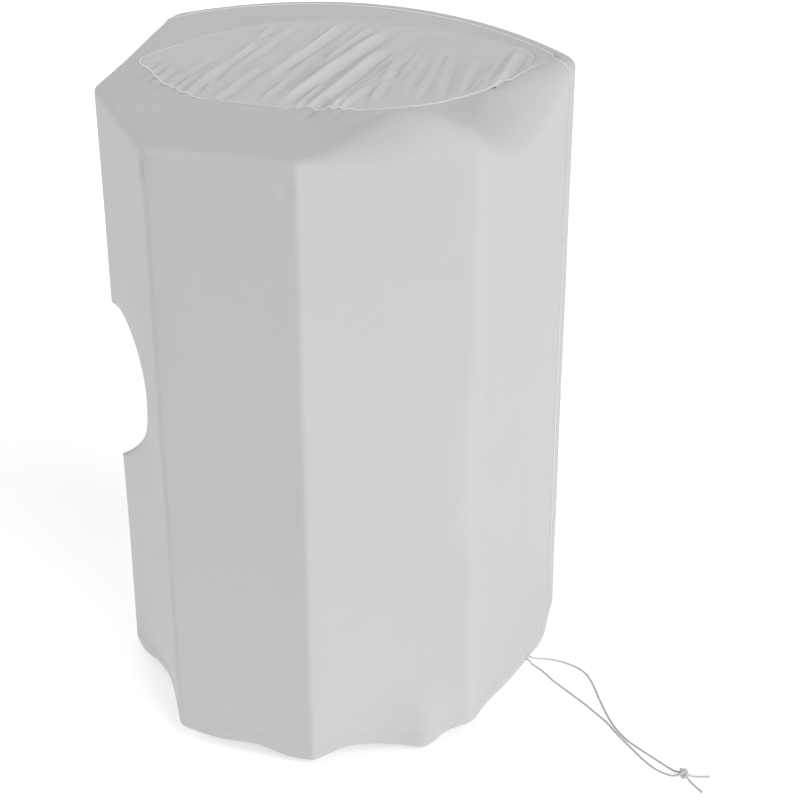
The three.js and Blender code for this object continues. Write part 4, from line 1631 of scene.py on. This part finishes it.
@dataclass
class Drawcord:
    """The drawcord: two strands that leave the hem, one knot that holds both, and their two tails."""

    finishes: Finishes
    diameter: float = 0.002
    sides: int = 12
    plait: float = 0.0034
    root_round: float = 0.0008
    tip_round: float = 0.001
    knot_half: tuple[float, float, float] = (0.0052, 0.0051, 0.0046)
    knot_turn: float = -0.3
    knot_foot: float = -0.0049

    def braid(self, path: Array) -> tuple[Array, Array]:
        """Carries a braided section along a path: a diamond relief from two opposed helices.

        The radius falls to nothing over a quarter circle at both ends, root(1 - (1 - s)^2), and swells to a
        sealed bead before the tip.

        Args:
            path: The cord's middle line, evenly spaced.

        Returns:
            Points and quads.
        """
        at = run_lengths(path)
        turn = 2 * math.pi * np.arange(self.sides) / self.sides
        helix = 2 * math.pi * at[:, None] / self.plait
        relief = np.cos(helix + 3 * turn) * np.cos(helix - 3 * turn)
        to_tip = at[-1] - at
        root, tip = (
            np.sqrt(np.clip(1 - (1 - np.minimum(run, length) / length) ** 2, 0.0, 1.0))
            for run, length in ((at, self.root_round), (to_tip, self.tip_round))
        )
        bead = 1 + 0.22 * np.exp(-(((to_tip - 0.0016) / 0.0012) ** 2))
        radius = self.diameter / 2 * (1 + 0.05 * relief) * (np.maximum(tip * root, 0.02) * bead)[:, None]
        return sweep(path, radius, self.sides, np.array([0.0, 0.0, 1.0]), False)

    def strand(
        self, name: str, points: tuple, tail: tuple, nodes: tuple[str, ...]
    ) -> bpy.types.Object:
        """Makes one strand from the hem through the knot to its tail's end.

        Args:
            name: The piece's name.
            points: The strand's route.
            tail: Its tail's route.
            nodes: The nodes that it stands for.

        Returns:
            The strand.
        """
        route = np.array([*points, KNOT_MIDDLE, *tail])
        path = resample(catmull_rom(route, False, 16), 0.0006)
        piece = make_mesh(name, join_parts([self.braid(path)]), self.finishes.material(Finish.CORD))
        tie(piece, nodes)
        return piece

    def knot(self) -> bpy.types.Object:
        """The knot: cord wound as a three-lobed torus knot, drawn tight, flat where it lies on the floor.

        The line runs at the distance (1 + r cos 1.5 t) / (1 + r) from the middle, at the height sin 1.5 t,
        with t going round twice, and is stretched to the knot's half sizes less the cord's own thickness.

        Returns:
            The knot.
        """
        t = np.linspace(0, 4 * math.pi, 220, endpoint=False)
        lobe = 0.62
        ring = (1.0 + lobe * np.cos(1.5 * t)) / (1.0 + lobe)
        girth = self.diameter / 2 * 1.5
        line = np.column_stack([ring * np.cos(t), ring * np.sin(t), np.sin(1.5 * t)])
        line *= np.array(self.knot_half) - girth
        cos, sin = math.cos(self.knot_turn), math.sin(self.knot_turn)
        line = line @ np.array([[cos, sin, 0], [-sin, cos, 0], [0, 0, 1]])
        line[:, 2] = np.maximum(line[:, 2], self.knot_foot + girth)
        block = sweep(line + np.array(KNOT_MIDDLE), girth, 14, unit(line + 1e-6), True)
        piece = make_mesh("knot_wound", join_parts([block]), self.finishes.material(Finish.CORD))
        tie(piece, ("knot",))
        return piece


def main() -> None:
    """Builds the studio, the drawcord, the cloths and the sewing, and reports each piece."""
    logging.basicConfig(level=logging.INFO, format="%(name)s: %(message)s")
    studio = Studio()
    studio.place_camera()
    finishes = Finishes()
    cord = Drawcord(finishes)
    knot = cord.knot()
    pieces = [
        knot,
        cord.strand("cord_upper_strand", STRAND_UPPER, TAIL_UPPER, ("cord_upper", "tail_upper")),
        cord.strand("cord_lower_strand", STRAND_LOWER, TAIL_LOWER, ("cord_lower", "tail_lower")),
    ]
    skin = CoverSkin(WallPlan().build())
    cloths = ClothPieces(skin, finishes)
    pieces += [cloths.wall_cloth(), cloths.front_panel(), cloths.top_panel()]
    sewing = Sewing(skin, finishes)
    pieces += [sewing.top_seam(), sewing.front_seam(), sewing.hem_stitches()]
    studio.lay_floor()
    studio.hang_lights()
    for piece in pieces:
        LOG.info("%s: %d points, %d faces", piece.name, len(piece.data.vertices), len(piece.data.polygons))


if __name__ == "__main__":
    main()
